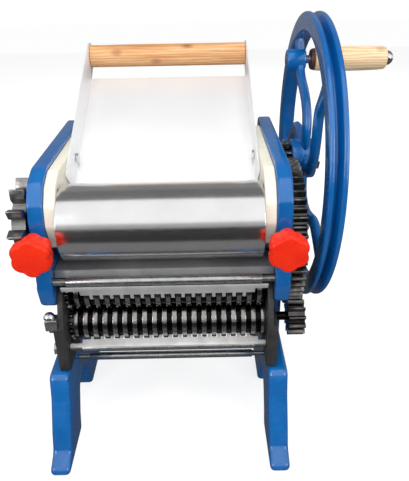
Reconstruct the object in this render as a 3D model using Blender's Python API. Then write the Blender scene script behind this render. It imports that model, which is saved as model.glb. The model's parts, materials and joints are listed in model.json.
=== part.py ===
"""Hand-cranked dough sheeter and noodle cutter.

Two cast side frames carry a pair of smooth rollers and, below them, a pair of
ring cutter rolls.  A flywheel with a crank handle turns a pinion.  The pinion
drives the large gear on the rear roller, and that gear drives the cutter.
Two knobs slide the front roller in its bearing blocks to set the thickness.

Metres, +Z up, +X towards the flywheel, -Y towards the person who cranks it.
The machine's own datum is the floor under the front roller's axis, half way
between the side frames; the whole machine is then moved so that the world
origin is the middle of its footprint.
"""
import math

import bmesh
import bpy
from mathutils import Matrix, Vector

# Fits
FIT = 0.0003                # gap between pieces that touch
RUN = 0.0006                # radial clearance of a shaft in its bush
OVERRUN = 0.002             # how far a cutter passes through a wall

# Round pieces: how many sides
SIDES_ROLLER = 40
SIDES_SHAFT = 16
SIDES_ROD = 12
SIDES_SCREW = 8
SIDES_CUTTER = 10
SIDES_WHEEL = 40
SIDES_SPOKE = 6
SIDES_HEX = 6
ARC_STEP = math.radians(36)  # longest arc between two points of a rounded corner
SMOOTH_ANGLE = math.radians(35)     # edges sharper than this stay crisp

# Rollers
ROLLER_LENGTH = 0.200
ROLLER_RADIUS = 0.0392
ROLLER_WALL = 0.009
ROLLER_HUB = 0.012          # length of the shaft's disc inside each roller end
JOURNAL_RADIUS = 0.011
NIP_GAP = 0.0006            # gap between the rollers at rest
NIP_TRAVEL = 0.004          # how far the front roller slides out
ROLLER_HEIGHT = 0.2547      # front roller's axis above the floor
ROLLER_LINE = math.radians(37.1)    # the line of axes falls to the rear by this

# Gears
MODULE = 0.003
DRIVE_TEETH = 54
PINION_TEETH = 12
BACKSET = 0.0001            # extra centre distance of each drive gear pair
TOOTH_THINNING = 0.00035    # taken off the thickness of each tooth
PRESSURE_ANGLE = math.radians(20)
DEDENDUM_SHARE = 1.3        # of the module
DRIVE_WIDTH = 0.016
PINION_WIDTH = 0.018
DRIVE_RECESS = 0.004        # depth of the turned recess in the drive gear's outer face
DRIVE_RIM = 0.011           # solid rim below the teeth
DRIVE_HUB_RADIUS = 0.022
WHEEL_LINE = math.radians(37.0)    # from the rear roller up to the flywheel shaft
CUTTER_LINE = math.radians(224.2)   # from the rear roller down to the lower cutter roll
GEAR_STANDOFF = 0.0035      # drive gears from the right frame
SYNC_TEETH = 12
SYNC_AIM = math.radians(21)     # a tooth of the front gear points this way from its axis
SYNC_ADDENDUM = 0.0075      # long teeth, still in mesh when the rollers part
SYNC_TIP_GAP = 0.001
SYNC_THINNING = 0.0014
SYNC_WIDTH = 0.014
SYNC_STANDOFF = 0.002
ROOT_SHARE = 0.7            # tooth angle left at the root below the base circle

# Side frames
FRAME_BAND = 0.0155         # thickness of a frame
WEB_THICKNESS = 0.0085      # left behind the panel recess
FOOT_STEP_IN = 0.0044       # legs stand proud of the frame's inner face
FOOT_STEP_OUT = 0.0015
FRAME_RISE = 0.0563          # top of the frames above the front roller's axis
FRAME_TOE = 0.103           # front toe ahead of the front roller's axis
FRAME_TAIL = 0.184          # rear end behind that axis
LEDGE_DROP = 0.158          # the ledge that carries the cutter head, below that axis
SHAFT_BOSS = 0.0205
ROLLER_BOSS = 0.024
KNOB_BOSS = 0.0092          # radius of the boss that the adjusting screw passes
KNOB_BOSS_FRONT = 0.036     # its face ahead of the roller's axis
KNOB_BOSS_DEPTH = 0.006

# Cheeks between the rollers and the frames
CHEEK_THICKNESS = 0.0114
CHEEK_SCREW_HEAD = 0.0042
CHEEK_SCREW_RADIUS = 0.002
CHEEK_SCREW_REACH = 0.004   # into the frame
CHEEK_SCREW_SINK = 0.003

# Bearing blocks, adjusting screws and knobs
BLOCK_SIZE = 0.036
SCREW_DROP = 0.0075         # screw below the roller's axis
SCREW_RADIUS = 0.004
SCREW_SEAT = 0.006          # depth of the screw's seat in the block
KNOB_RADIUS = 0.0200
KNOB_LOBES = 6
KNOB_WAIST_SHARE = 0.86     # radius between the lobes
KNOB_THICKNESS = 0.0145
KNOB_FRONT = 0.063          # front face ahead of the roller's axis
KNOB_EDGE = 0.0025
KNOB_NECK_RADIUS = 0.0085
KNOB_NECK_LENGTH = 0.008

# Bushes, nuts and washers
BUSH_WALL = 0.0035
NUT_HEIGHT = 0.0062
NUT_RADIUS = 0.0072
SHAFT_NUT_HEIGHT = 0.0055
SHAFT_NUT_RADIUS = 0.0135
SPIGOT_RADIUS = 0.006       # shaft end that carries a nut

# Tie rods
ROD_RADIUS = 0.0045
THREAD_RADIUS = 0.0036
THREAD_LENGTH = 0.013       # thinner threaded stretch that shows inside the frames
UPPER_ROD_STEP = (-0.031, -0.0522)      # from the front roller's axis
REAR_ROD_STEP = (0.168, 0.0293)
LOWER_ROD_DROP = 0.0177                 # below the ledge, under the front roller's axis
HEAD_ROD_STEP = (-0.0220, -0.0210)      # the cutter head's own rod, from the lower roll's axis

# Flywheel, its shaft and the crank
WHEEL_RADIUS = 0.168
WHEEL_WIDTH = 0.019
WHEEL_RIM = 0.022           # radial depth of the rim
GROOVE_DEPTH = 0.013
GROOVE_MOUTH = 0.0085
WHEEL_STANDOFF = 0.032      # rim's near face from the right frame
WHEEL_SHAFT_RADIUS = 0.008
WHEEL_HUB_RADIUS = 0.024
WHEEL_HUB_LENGTH = 0.030
SPOKE_COUNT = 5
SPOKE_WIDTH = 0.016
SPOKE_DEPTH = 0.011
SPOKE_SINK_SHARE = 0.56             # middle of a spoke behind the rim's near face, over its depth
SPOKE_ROOT_SHARE = 0.8              # a spoke starts inside the hub, at this share of its radius
SPOKE_SWING = math.radians(24)      # a spoke's path swings this far to either side
SPOKE_BELLY_SHARE = 0.205           # radius of its forward swing over the rim's inner radius
SPOKE_WAVE_SHARE = 0.55             # and from there to its backward swing
CRANK_ANGLE = math.radians(60.5)
CRANK_INSET = 0.0225        # crank's axis inside the rim's inner edge
CRANK_BOSS_RADIUS = 0.0125
CRANK_BOSS_PROUD = 0.0006   # boss's outer face beyond the spokes
CRANK_BOSS_SET = 0.0115     # boss starts this far inside the rim's near face
STUD_RADIUS = 0.005
GRIP_GAP = 0.0060           # bare stud between boss and grip
GRIP_LENGTH = 0.094
GRIP_RADIUS = 0.0148
CAP_RADIUS = 0.0085
CAP_LENGTH = 0.0085
COLLAR_RADIUS = 0.014
COLLAR_LENGTH = 0.008

# Feed tray and its carry bar
SHEET = 0.0012
TRAY_SLOPE = math.radians(27)
TRAY_FRONT_STEP = (0.052, 0.0135)       # floor's front edge, from the front roller's axis
TRAY_FLOOR_END = 0.216
TRAY_TIP_STEP = (0.025, 0.0403)
BAR_STEP = (0.2285, 0.1238)
BAR_RADIUS = 0.0135
BAR_WRAP = 0.002            # sheet metal left round the bar's end
BAR_SCREW_RADIUS = 0.002
BAR_SCREW_HEAD = 0.0045
BAR_SCREW_DEPTH = 0.015
TRAY_BOLT_STEP = (0.080, 0.0398)
TRAY_BOLT_RADIUS = 0.0025
TRAY_BOLT_HEAD = 0.0055
TRAY_BOLT_HEAD_HEIGHT = 0.0022

# Scrapers under the rollers
SCRAPER_SHEET = 0.002
SCRAPER_TOUCH = math.radians(-82.5)     # where it is tangent to the front roller
SCRAPER_LENGTH = 0.0285
SCRAPER_LIP = 0.008
SCRAPER_BEND = math.radians(30)         # how far the lip is bent up
CHUTE_TOUCH = math.radians(-136)        # where the chute's edge meets the rear roller
CHUTE_TAIL = math.radians(-38)          # direction of its lower edge from the upper cutter roll
CHUTE_EAR_SHARE = 0.45

# Cutter head
PLATE_WEB_THICKNESS = 0.0057        # of an end plate between the cheeks
PLATE_THICKNESS = 0.011             # of its pad in front of the frames
CUTTER_DISTANCE = 0.0401
CUTTER_LEAN = math.radians(87)      # from the lower roll up to the upper one
RING_RADIUS = 0.0213
CORE_RADIUS = 0.0181
RING_PITCH = 0.0106
RING_WIDTH = 0.0050
FIRST_RING_INSET = 0.0077   # middle of the first ring from the end plate
CUTTER_JOURNAL = 0.006
CUTTER_STUB = 0.00475
CUTTER_SYNC_TEETH = 16
CUTTER_SYNC_WIDTH = 0.0042
COMB_SHEET = 0.0015
PLAIN_RINGS = 4             # rings with no tooth of the upper comb beside them
COMB_TOOTH_WIDTH = 0.0036
COMB_TOOTH_LENGTH = 0.0072
COMB_DEPTH = 0.0138
UPPER_COMB_STEP = (-0.0281, 0.0190)     # its top edge, from the upper roll's axis
UPPER_COMB_TILT = math.radians(22)
LOWER_COMB_STEP = (-0.0152, -0.0118)    # its tip, from the lower roll's axis
LOWER_COMB_TILT = math.radians(-62)
LOWER_COMB_DEPTH = 0.009
LOWER_LUG_SHARE = 0.5        # depth of its end lugs over its own
HOLDER_SHEET = 0.0030
HOLDER_DEPTH = 0.0065
HOLDER_DROP = 0.0018        # its top edge below the comb's
CLAMP_BLOCK = 0.0128
CLAMP_SCREW_RADIUS = 0.003
CLAMP_DOME_RADIUS = 0.0062
CLAMP_TAIL = 0.005

# Places that follow from the sizes above
PAIR_DISTANCE = 2 * ROLLER_RADIUS + NIP_GAP
DRIVE_RADIUS = DRIVE_TEETH * MODULE / 2
PINION_RADIUS = PINION_TEETH * MODULE / 2
MESH_DISTANCE = DRIVE_RADIUS + PINION_RADIUS + BACKSET
SYNC_RADIUS = PAIR_DISTANCE / 2


def along(start, distance, angle):
    """The (y, z) place at a distance and an angle from another."""
    return (start[0] + distance * math.cos(angle), start[1] + distance * math.sin(angle))


def stepped(start, step):
    """The (y, z) place at a (y, z) step from another."""
    return (start[0] + step[0], start[1] + step[1])


FRONT_AXIS = (0.0, ROLLER_HEIGHT)
REAR_AXIS = along(FRONT_AXIS, PAIR_DISTANCE, -ROLLER_LINE)
WHEEL_AXIS = along(REAR_AXIS, MESH_DISTANCE, WHEEL_LINE)
LOWER_CUTTER_AXIS = along(REAR_AXIS, MESH_DISTANCE, CUTTER_LINE)
UPPER_CUTTER_AXIS = along(LOWER_CUTTER_AXIS, CUTTER_DISTANCE, CUTTER_LEAN)
RIM_INNER_RADIUS = WHEEL_RADIUS - WHEEL_RIM
CRANK_RADIUS = RIM_INNER_RADIUS - CRANK_INSET
CRANK_OFFSET = along((0.0, 0.0), CRANK_RADIUS, CRANK_ANGLE)
KNOB_HEIGHT = ROLLER_HEIGHT - SCREW_DROP
FRAME_TOP = ROLLER_HEIGHT + FRAME_RISE
LEDGE_HEIGHT = ROLLER_HEIGHT - LEDGE_DROP
UPPER_ROD = stepped(FRONT_AXIS, UPPER_ROD_STEP)
REAR_ROD = stepped(FRONT_AXIS, REAR_ROD_STEP)
LOWER_ROD = (0.0, LEDGE_HEIGHT - LOWER_ROD_DROP)
HEAD_ROD = stepped(LOWER_CUTTER_AXIS, HEAD_ROD_STEP)
TRAY_FRONT = stepped(FRONT_AXIS, TRAY_FRONT_STEP)
TRAY_WALL_TIP = stepped(FRONT_AXIS, TRAY_TIP_STEP)
TRAY_BOLT = stepped(FRONT_AXIS, TRAY_BOLT_STEP)
BAR_AXIS = stepped(FRONT_AXIS, BAR_STEP)
UPPER_COMB_TOP = stepped(UPPER_CUTTER_AXIS, UPPER_COMB_STEP)
LOWER_COMB_TIP = stepped(LOWER_CUTTER_AXIS, LOWER_COMB_STEP)

CHEEK_INNER = ROLLER_LENGTH / 2 + FIT
CHEEK_OUTER = CHEEK_INNER + CHEEK_THICKNESS
FRAME_INNER = CHEEK_OUTER + FIT
FRAME_OUTER = FRAME_INNER + FRAME_BAND
FOOT_INNER = FRAME_INNER - FOOT_STEP_IN
FOOT_OUTER = FRAME_OUTER + FOOT_STEP_OUT
WEB_OUTER = FRAME_INNER + WEB_THICKNESS
BAND_MIDDLE = (FRAME_INNER + FRAME_OUTER) / 2
GEAR_INNER = FRAME_OUTER + GEAR_STANDOFF
DRIVE_OUTER = GEAR_INNER + DRIVE_WIDTH
PINION_OUTER = GEAR_INNER + PINION_WIDTH
SYNC_INNER = FRAME_OUTER + SYNC_STANDOFF
SYNC_OUTER = SYNC_INNER + SYNC_WIDTH
WHEEL_INNER = FRAME_OUTER + WHEEL_STANDOFF
WHEEL_OUTER = WHEEL_INNER + WHEEL_WIDTH
HUB_INNER = PINION_OUTER + FIT
HUB_OUTER = HUB_INNER + WHEEL_HUB_LENGTH
BOSS_INNER = WHEEL_INNER - CRANK_BOSS_SET
SPOKE_X = WHEEL_INNER + SPOKE_DEPTH * SPOKE_SINK_SHARE
BOSS_OUTER = SPOKE_X + SPOKE_DEPTH / 2 + CRANK_BOSS_PROUD
GRIP_INNER = BOSS_OUTER + GRIP_GAP
GRIP_OUTER = GRIP_INNER + GRIP_LENGTH
CAP_INNER = GRIP_OUTER + FIT
CAP_OUTER = CAP_INNER + CAP_LENGTH
PLATE_WEB = CHEEK_OUTER
PLATE_INNER = PLATE_WEB - PLATE_WEB_THICKNESS
PLATE_OUTER = PLATE_INNER + PLATE_THICKNESS
FIRST_RING = FIRST_RING_INSET - PLATE_INNER
RING_COUNT = 1 + math.floor((PLATE_INNER - FIT - RING_WIDTH / 2 - FIRST_RING) / RING_PITCH)
COMB_TEETH = RING_COUNT - PLAIN_RINGS
SYNC_NUT_OUTER = SYNC_OUTER + FIT + SHAFT_NUT_HEIGHT

# The world origin is the middle of the footprint
LEFT_END = -SYNC_NUT_OUTER
RIGHT_END = CAP_OUTER
FRONT_END = -FRAME_TOE
REAR_END = WHEEL_AXIS[0] + WHEEL_RADIUS
CENTRE_X = (LEFT_END + RIGHT_END) / 2
CENTRE_Y = (FRONT_END + REAR_END) / 2

# Paint and metal: base colour, roughness, metallic
FINISHES = {
    "blue_enamel": ((0.012, 0.135, 0.480), 0.28, 0.0),
    "cream_nylon": ((0.780, 0.740, 0.600), 0.42, 0.0),
    "red_plastic": ((0.850, 0.045, 0.012), 0.35, 0.0),
    "ground_steel": ((0.430, 0.430, 0.440), 0.30, 1.0),
    "dark_gear": ((0.055, 0.052, 0.050), 0.42, 0.9),
    "dark_casting": ((0.045, 0.043, 0.045), 0.50, 0.4),
    "zinc": ((0.560, 0.570, 0.570), 0.32, 1.0),
    "chrome": ((0.780, 0.780, 0.790), 0.10, 1.0),
    "sheet_steel": ((0.800, 0.800, 0.820), 0.25, 1.0),
    "pine": ((0.720, 0.420, 0.180), 0.45, 0.0),
    "bronze": ((0.480, 0.310, 0.120), 0.40, 1.0),
}


# Scene and object helpers

def clear_scene():
    for thing in list(bpy.data.objects):
        bpy.data.objects.remove(thing, do_unlink=True)


def finish(name):
    """The Principled material of this name, made once."""
    known = bpy.data.materials.get(name)
    if known:
        return known
    colour, roughness, metallic = FINISHES[name]
    made = bpy.data.materials.new(name)
    made.use_nodes = True
    shader = made.node_tree.nodes["Principled BSDF"]
    shader.inputs["Base Color"].default_value = (*colour, 1.0)
    shader.inputs["Roughness"].default_value = roughness
    shader.inputs["Metallic"].default_value = metallic
    return made


def axis_empty(name, place, parent=None):
    """An empty on a turning or sliding axis, at (x, y, z) under its parent."""
    empty = bpy.data.objects.new(name, None)
    bpy.context.collection.objects.link(empty)
    empty.location = place
    empty.parent = parent
    return empty


def object_from(name, bm):
    bmesh.ops.recalc_face_normals(bm, faces=bm.faces[:])
    mesh = bpy.data.meshes.new(name)
    bm.to_mesh(mesh)
    bm.free()
    made = bpy.data.objects.new(name, mesh)
    bpy.context.collection.objects.link(made)
    return made


def complete(made, material, parent, smooth_angle=None):
    """Give a finished shape its material, its parent and its shading."""
    made.data.materials.clear()
    made.data.materials.append(finish(material))
    made.parent = parent
    if smooth_angle:
        made.data.shade_smooth()
        made.data.set_sharp_from_angle(angle=smooth_angle)
    return made


def boolean(target, tool, operation):
    """Cut with, or add, another shape, and drop that shape."""
    modifier = target.modifiers.new(operation, "BOOLEAN")
    modifier.operation = operation
    modifier.solver = "EXACT"
    modifier.object = tool
    bpy.context.view_layer.update()
    graph = bpy.context.evaluated_depsgraph_get()
    result = bpy.data.meshes.new_from_object(target.evaluated_get(graph))
    target.modifiers.clear()
    target.data = result
    bpy.data.objects.remove(tool, do_unlink=True)
    return target


def cut(target, *tools):
    for tool in tools:
        boolean(target, tool, "DIFFERENCE")
    return target


def add(target, *tools):
    for tool in tools:
        boolean(target, tool, "UNION")
    return target


# Shape helpers.  Outlines are lists of (y, z), extruded or turned along X

def rounded(corners):
    """Round each corner (y, z, radius) of a closed outline with an arc."""
    points = []
    count = len(corners)
    for index, (y, z, radius) in enumerate(corners):
        corner = Vector((y, z))
        before = Vector(corners[index - 1][:2]) - corner
        after = Vector(corners[(index + 1) % count][:2]) - corner
        if radius <= 0:
            points.append(tuple(corner))
            continue
        turn = before.angle(after)
        reach = min(radius / math.tan(turn / 2), before.length / 2, after.length / 2)
        fillet = reach * math.tan(turn / 2)
        sweep = math.pi - turn
        steps = max(1, math.ceil(sweep / ARC_STEP))
        middle = (before.normalized() + after.normalized()).normalized()
        centre = corner + middle * (fillet / math.sin(turn / 2))
        start = corner + before.normalized() * reach - centre
        side = 1 if start.x * (corner - centre).y - start.y * (corner - centre).x > 0 else -1
        for step in range(steps + 1):
            angle = side * sweep * step / steps
            spin = Matrix.Rotation(angle, 2)
            points.append(tuple(centre + spin @ start))
    return points


def prism(name, outline, x_start, x_end):
    """Extrude a closed (y, z) outline from one X to another."""
    bm = bmesh.new()
    loop = [bm.verts.new((x_start, y, z)) for y, z in outline]
    face = bm.faces.new(loop)
    made = bmesh.ops.extrude_face_region(bm, geom=[face])
    moved = [item for item in made["geom"] if isinstance(item, bmesh.types.BMVert)]
    bmesh.ops.translate(bm, verts=moved, vec=(x_end - x_start, 0, 0))
    return object_from(name, bm)


def turned(name, profile, centre=(0.0, 0.0), sides=SIDES_SHAFT):
    """Turn a closed or axis-to-axis profile of (x, radius) about the X axis."""
    bm = bmesh.new()
    rings = []
    for x, radius in profile:
        if radius <= 0:
            rings.append([bm.verts.new((x, centre[0], centre[1]))])
            continue
        ring = []
        for side in range(sides):
            y, z = along(centre, radius, 2 * math.pi * side / sides)
            ring.append(bm.verts.new((x, y, z)))
        rings.append(ring)
    closed = len(rings[0]) > 1
    pairs = list(zip(rings, rings[1:]))
    if closed:
        pairs.append((rings[-1], rings[0]))
    for one, two in pairs:
        for side in range(sides):
            after = (side + 1) % sides
            corners = [one[side % len(one)], one[after % len(one)],
                       two[after % len(two)], two[side % len(two)]]
            unique = list(dict.fromkeys(corners))
            if len(unique) > 2:
                bm.faces.new(unique)
    return object_from(name, bm)


def cylinder(name, x_start, x_end, radius, centre=(0.0, 0.0), sides=SIDES_SHAFT):
    """A plain cylinder along X, its ends single faces."""
    outline = [along(centre, radius, 2 * math.pi * side / sides) for side in range(sides)]
    return prism(name, outline, x_start, x_end)


def ring(name, x_start, x_end, outer, inner, centre=(0.0, 0.0), sides=SIDES_SHAFT):
    profile = [(x_start, inner), (x_start, outer), (x_end, outer), (x_end, inner)]
    return turned(name, profile, centre, sides)


def slot(name, x_start, x_end, radius, centre, run):
    """A round-ended slot along X that runs from its centre by `run` along Y."""
    half = SIDES_SHAFT // 2
    outline = []
    for end, first in ((max(run, 0.0), -math.pi / 2), (min(run, 0.0), math.pi / 2)):
        for step in range(half + 1):
            y, z = along(centre, radius, first + math.pi * step / half)
            outline.append((y + end, z))
    return prism(name, outline, x_start, x_end)


def box(name, low, high):
    outline = [(low[1], low[2]), (high[1], low[2]), (high[1], high[2]), (low[1], high[2])]
    return prism(name, outline, low[0], high[0])


def strip(name, x_start, x_end, line, thickness):
    """A bent sheet: a (y, z) line given a thickness on its left side."""
    offsets = []
    for index, point in enumerate(line):
        here = Vector(point)
        normals = []
        for one, two in ((index - 1, index), (index, index + 1)):
            if 0 <= one and two < len(line):
                step = (Vector(line[two]) - Vector(line[one])).normalized()
                normals.append(Vector((-step.y, step.x)))
        middle = sum(normals, Vector((0.0, 0.0))).normalized()
        offsets.append(tuple(here + middle * (thickness / middle.dot(normals[0]))))
    return prism(name, list(line) + offsets[::-1], x_start, x_end)


def upright(name, z_start, z_end, radius, x, y):
    """A cylinder along Z."""
    bm = bmesh.new()
    place = Matrix.Translation((x, y, (z_start + z_end) / 2))
    bmesh.ops.create_cone(bm, cap_ends=True, segments=SIDES_ROD, radius1=radius, radius2=radius,
                          depth=z_end - z_start, matrix=place)
    return object_from(name, bm)


def lying(name, y_start, y_end, radius, x, z):
    """A cylinder along Y."""
    bm = bmesh.new()
    place = Matrix.Translation((x, (y_start + y_end) / 2, z)) @ Matrix.Rotation(math.pi / 2, 4, "X")
    bmesh.ops.create_cone(bm, cap_ends=True, segments=SIDES_ROD, radius1=radius, radius2=radius,
                          depth=y_end - y_start, matrix=place)
    return object_from(name, bm)


# Gear teeth

def involute(angle):
    return math.tan(angle) - angle


def gear_outline(teeth, pitch_radius, tip_radius, root_radius, thickness, aim):
    """Tooth outline as (y, z).  `aim` is the angle of one tooth's middle."""
    base = pitch_radius * math.cos(PRESSURE_ANGLE)
    base_half = thickness / (2 * pitch_radius) + involute(PRESSURE_ANGLE)

    def half_angle(radius):
        if radius <= base:
            depth = (base - radius) / (base - root_radius)
            return base_half * (1 - depth * (1 - ROOT_SHARE))
        return base_half - involute(math.acos(base / radius))

    radii = [root_radius, pitch_radius, tip_radius]
    if teeth > 2 * CUTTER_SYNC_TEETH:
        radii = [root_radius, tip_radius]
    elif tip_radius - root_radius > 3 * MODULE:
        radii = [root_radius, base, pitch_radius, tip_radius]
    outline = []
    for tooth in range(teeth):
        middle = aim + 2 * math.pi * tooth / teeth
        for radius in radii:
            outline.append(along((0.0, 0.0), radius, middle - half_angle(radius)))
        for radius in reversed(radii):
            outline.append(along((0.0, 0.0), radius, middle + half_angle(radius)))
    return outline


def module_gear(teeth, aim, module=MODULE):
    radius = teeth * module / 2
    thickness = math.pi * module / 2 - TOOTH_THINNING
    return gear_outline(teeth, radius, radius + module, radius - DEDENDUM_SHARE * module,
                        thickness, aim)


def sync_gear(aim):
    thickness = math.pi * SYNC_RADIUS / SYNC_TEETH - SYNC_THINNING
    tip = SYNC_RADIUS + SYNC_ADDENDUM
    return gear_outline(SYNC_TEETH, SYNC_RADIUS, tip, 2 * SYNC_RADIUS - tip - SYNC_TIP_GAP,
                        thickness, aim)


def meshing_aim(partner_aim, partner_teeth, teeth, line):
    """Aim of a gear that lies along `line` from its partner, gap facing tooth."""
    turn = (partner_aim - line) * partner_teeth / teeth
    return line + math.pi + math.pi / teeth - turn


# The side frames

FRAME_DEPTH = FRAME_TOE + FRAME_TAIL

LEDGE_SHARE = 0.311         # height of the ledge over the frame's, in the shares below

# Upper casting: (y, z, corner radius) as shares of the depth, the height and the depth,
# y measured from the front toe.  Its lower end is buried in the legs.
FRAME_SHARES = [
    (0.411, 0.230, 0.000), (0.401, 0.311, 0.010), (0.401, 0.508, 0.020), (0.366, 0.534, 0.020),
    (0.254, 0.558, 0.015), (0.229, 0.577, 0.025), (0.216, 0.640, 0.050), (0.244, 0.725, 0.050),
    (0.256, 0.862, 0.040), (0.268, 0.918, 0.035), (0.314, 0.973, 0.070), (0.387, 1.000, 0.070),
    (0.976, 1.000, 0.016), (1.000, 0.955, 0.030), (0.955, 0.720, 0.100), (0.850, 0.300, 0.000),
    (0.790, 0.230, 0.000),
]

# Legs: the ledge, two feet and the arch between them
LEG_SHARES = [
    (0.0000, 0.000, 0.000), (0.0050, 0.026, 0.012), (0.0660, 0.055, 0.030), (0.0910, 0.115, 0.040),
    (0.1510, 0.222, 0.050), (0.1720, 0.294, 0.014), (0.1860, 0.311, 0.010), (0.8500, 0.311, 0.004),
    (0.8050, 0.190, 0.070), (0.7920, 0.000, 0.007), (0.4910, 0.000, 0.007), (0.4770, 0.045, 0.030),
    (0.4350, 0.167, 0.070), (0.3240, 0.167, 0.070), (0.2620, 0.064, 0.050), (0.2370, 0.000, 0.007),
]

# Recessed panel on the outside
PANEL_SHARES = [
    (0.452, 0.958, 0.025), (0.942, 0.958, 0.025), (0.910, 0.740, 0.060), (0.783, 0.370, 0.030),
    (0.446, 0.370, 0.030), (0.446, 0.620, 0.030),
]


def height_of(share):
    """Legs stretch with the ledge's height, and what stands above it keeps its own."""
    if share <= LEDGE_SHARE:
        return LEDGE_HEIGHT * share / LEDGE_SHARE
    return LEDGE_HEIGHT + (FRAME_TOP - LEDGE_HEIGHT) * (share - LEDGE_SHARE) / (1 - LEDGE_SHARE)


def frame_corners(shares):
    return [(y * FRAME_DEPTH - FRAME_TOE, height_of(z), radius * FRAME_DEPTH)
            for y, z, radius in shares]


def side_x(side, *values):
    """X values of the left (-1) or right (+1) side, lowest first."""
    return sorted(side * value for value in values)


def side_frame(name, side, parent):
    frame = prism(name, rounded(frame_corners(FRAME_SHARES)), *side_x(side, FRAME_INNER, FRAME_OUTER))
    legs = prism("legs", rounded(frame_corners(LEG_SHARES)), *side_x(side, FOOT_INNER, FOOT_OUTER))
    add(frame, legs)
    boss = lying("knob_boss", -KNOB_BOSS_FRONT, KNOB_BOSS_DEPTH - KNOB_BOSS_FRONT, KNOB_BOSS,
                 side * BAND_MIDDLE, KNOB_HEIGHT)
    add(frame, boss)
    panel = prism("panel", rounded(frame_corners(PANEL_SHARES)),
                  *side_x(side, WEB_OUTER, FRAME_OUTER + OVERRUN))
    inner_face, outer_face = WEB_OUTER - OVERRUN, FRAME_OUTER
    cut(panel,
        cylinder("roller_boss", *side_x(side, inner_face, outer_face + 2 * OVERRUN), ROLLER_BOSS,
                 REAR_AXIS),
        cylinder("shaft_boss", *side_x(side, inner_face, outer_face + 2 * OVERRUN), SHAFT_BOSS,
                 WHEEL_AXIS))
    cut(frame, panel)
    through = side_x(side, FRAME_INNER - OVERRUN, FRAME_OUTER + OVERRUN)
    half = BLOCK_SIZE / 2 + FIT
    window = box("window", (through[0], -half - NIP_TRAVEL, ROLLER_HEIGHT - half),
                 (through[1], half, ROLLER_HEIGHT + half))
    screw_hole = lying("screw_hole", -KNOB_BOSS_FRONT - OVERRUN, -BLOCK_SIZE / 2, SCREW_RADIUS + FIT,
                       side * BAND_MIDDLE, KNOB_HEIGHT)
    cut(frame, window, screw_hole)
    cut(frame, cylinder("roller_bush_bore", *through, JOURNAL_RADIUS + RUN + BUSH_WALL + FIT, REAR_AXIS))
    cut(frame, cylinder("shaft_bore", *through, WHEEL_SHAFT_RADIUS + RUN, WHEEL_AXIS))
    for place in (UPPER_ROD, REAR_ROD):
        cut(frame, cylinder("rod_hole", *through, THREAD_RADIUS + FIT, place, SIDES_ROD))
    foot_through = side_x(side, FOOT_INNER - OVERRUN, FOOT_OUTER + OVERRUN)
    cut(frame, cylinder("lower_rod_hole", *foot_through, THREAD_RADIUS + FIT, LOWER_ROD, SIDES_ROD))
    for place in (UPPER_ROD, LOWER_ROD, REAR_ROD):
        sink = side_x(side, WEB_OUTER, FOOT_OUTER + OVERRUN)
        cut(frame, cylinder("nut_sink", *sink, NUT_RADIUS + 2 * FIT, place, SIDES_ROD))
    seat = side_x(side, FRAME_INNER - OVERRUN, FRAME_INNER + CHEEK_SCREW_REACH + FIT)
    cut(frame, cylinder("cheek_screw_hole", *seat, CHEEK_SCREW_RADIUS + FIT, CHEEK_SCREW, SIDES_SCREW),
        cylinder("tray_bolt_hole", *seat, TRAY_BOLT_RADIUS + FIT, TRAY_BOLT, SIDES_SCREW))
    return complete(frame, "blue_enamel", parent, SMOOTH_ANGLE)


# Cheeks: the dough's side guides, outline as shares of depth, height and depth
CHEEK_SHARES = [
    (0.279, 0.765, 0.008), (0.259, 0.845, 0.040), (0.273, 0.908, 0.030), (0.316, 0.959, 0.040),
    (0.383, 0.989, 0.040), (0.885, 0.989, 0.012), (0.878, 0.930, 0.020), (0.710, 0.700, 0.030),
    (0.645, 0.600, 0.020), (0.525, 0.600, 0.020), (0.440, 0.660, 0.020), (0.385, 0.765, 0.020),
]
CHEEK_SCREW_LINE = math.radians(99)     # from the front roller's axis up to the screw
CHEEK_SCREW_SHARE = 0.9                 # of the roller's radius
CHEEK_SCREW = along(FRONT_AXIS, ROLLER_RADIUS * CHEEK_SCREW_SHARE, CHEEK_SCREW_LINE)


def cheek(name, side, parent):
    made = prism(name, rounded(frame_corners(CHEEK_SHARES)), *side_x(side, CHEEK_INNER, CHEEK_OUTER))
    through = side_x(side, CHEEK_INNER - OVERRUN, CHEEK_OUTER + OVERRUN)
    cut(made,
        slot("journal_slot", *through, JOURNAL_RADIUS + FIT, FRONT_AXIS, -NIP_TRAVEL),
        cylinder("journal_bore", *through, JOURNAL_RADIUS + RUN, REAR_AXIS),
        cylinder("shaft_bore", *through, WHEEL_SHAFT_RADIUS + RUN, WHEEL_AXIS),
        cylinder("tray_bolt_hole", *through, TRAY_BOLT_RADIUS + FIT, TRAY_BOLT, SIDES_SCREW))
    sink = side_x(side, CHEEK_INNER - OVERRUN, CHEEK_INNER + CHEEK_SCREW_SINK + FIT)
    cut(made, cylinder("screw_hole", *through, CHEEK_SCREW_RADIUS + FIT, CHEEK_SCREW, SIDES_SCREW),
        cylinder("screw_sink", *sink, CHEEK_SCREW_HEAD + FIT, CHEEK_SCREW, SIDES_SCREW))
    return complete(made, "cream_nylon", parent, SMOOTH_ANGLE)


def headed_screw(name, stations, place, parent, material="zinc"):
    """A screw turned from (x, radius) stations; the first radius is its head's."""
    profile = [(stations[0][0], 0.0)]
    for (x, radius), (after, _) in zip(stations, stations[1:]):
        profile += [(x, radius), (after, radius)]
    profile.append((stations[-1][0], 0.0))
    return complete(turned(name, profile, place, SIDES_SCREW), material, parent, SMOOTH_ANGLE)


def cheek_screw(name, side, parent):
    stations = [(side * CHEEK_INNER, CHEEK_SCREW_HEAD),
                (side * (CHEEK_INNER + CHEEK_SCREW_SINK), CHEEK_SCREW_RADIUS),
                (side * (FRAME_INNER + CHEEK_SCREW_REACH), 0.0)]
    return headed_screw(name, stations, CHEEK_SCREW, parent)


# Rollers, their shafts and gears

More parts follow.
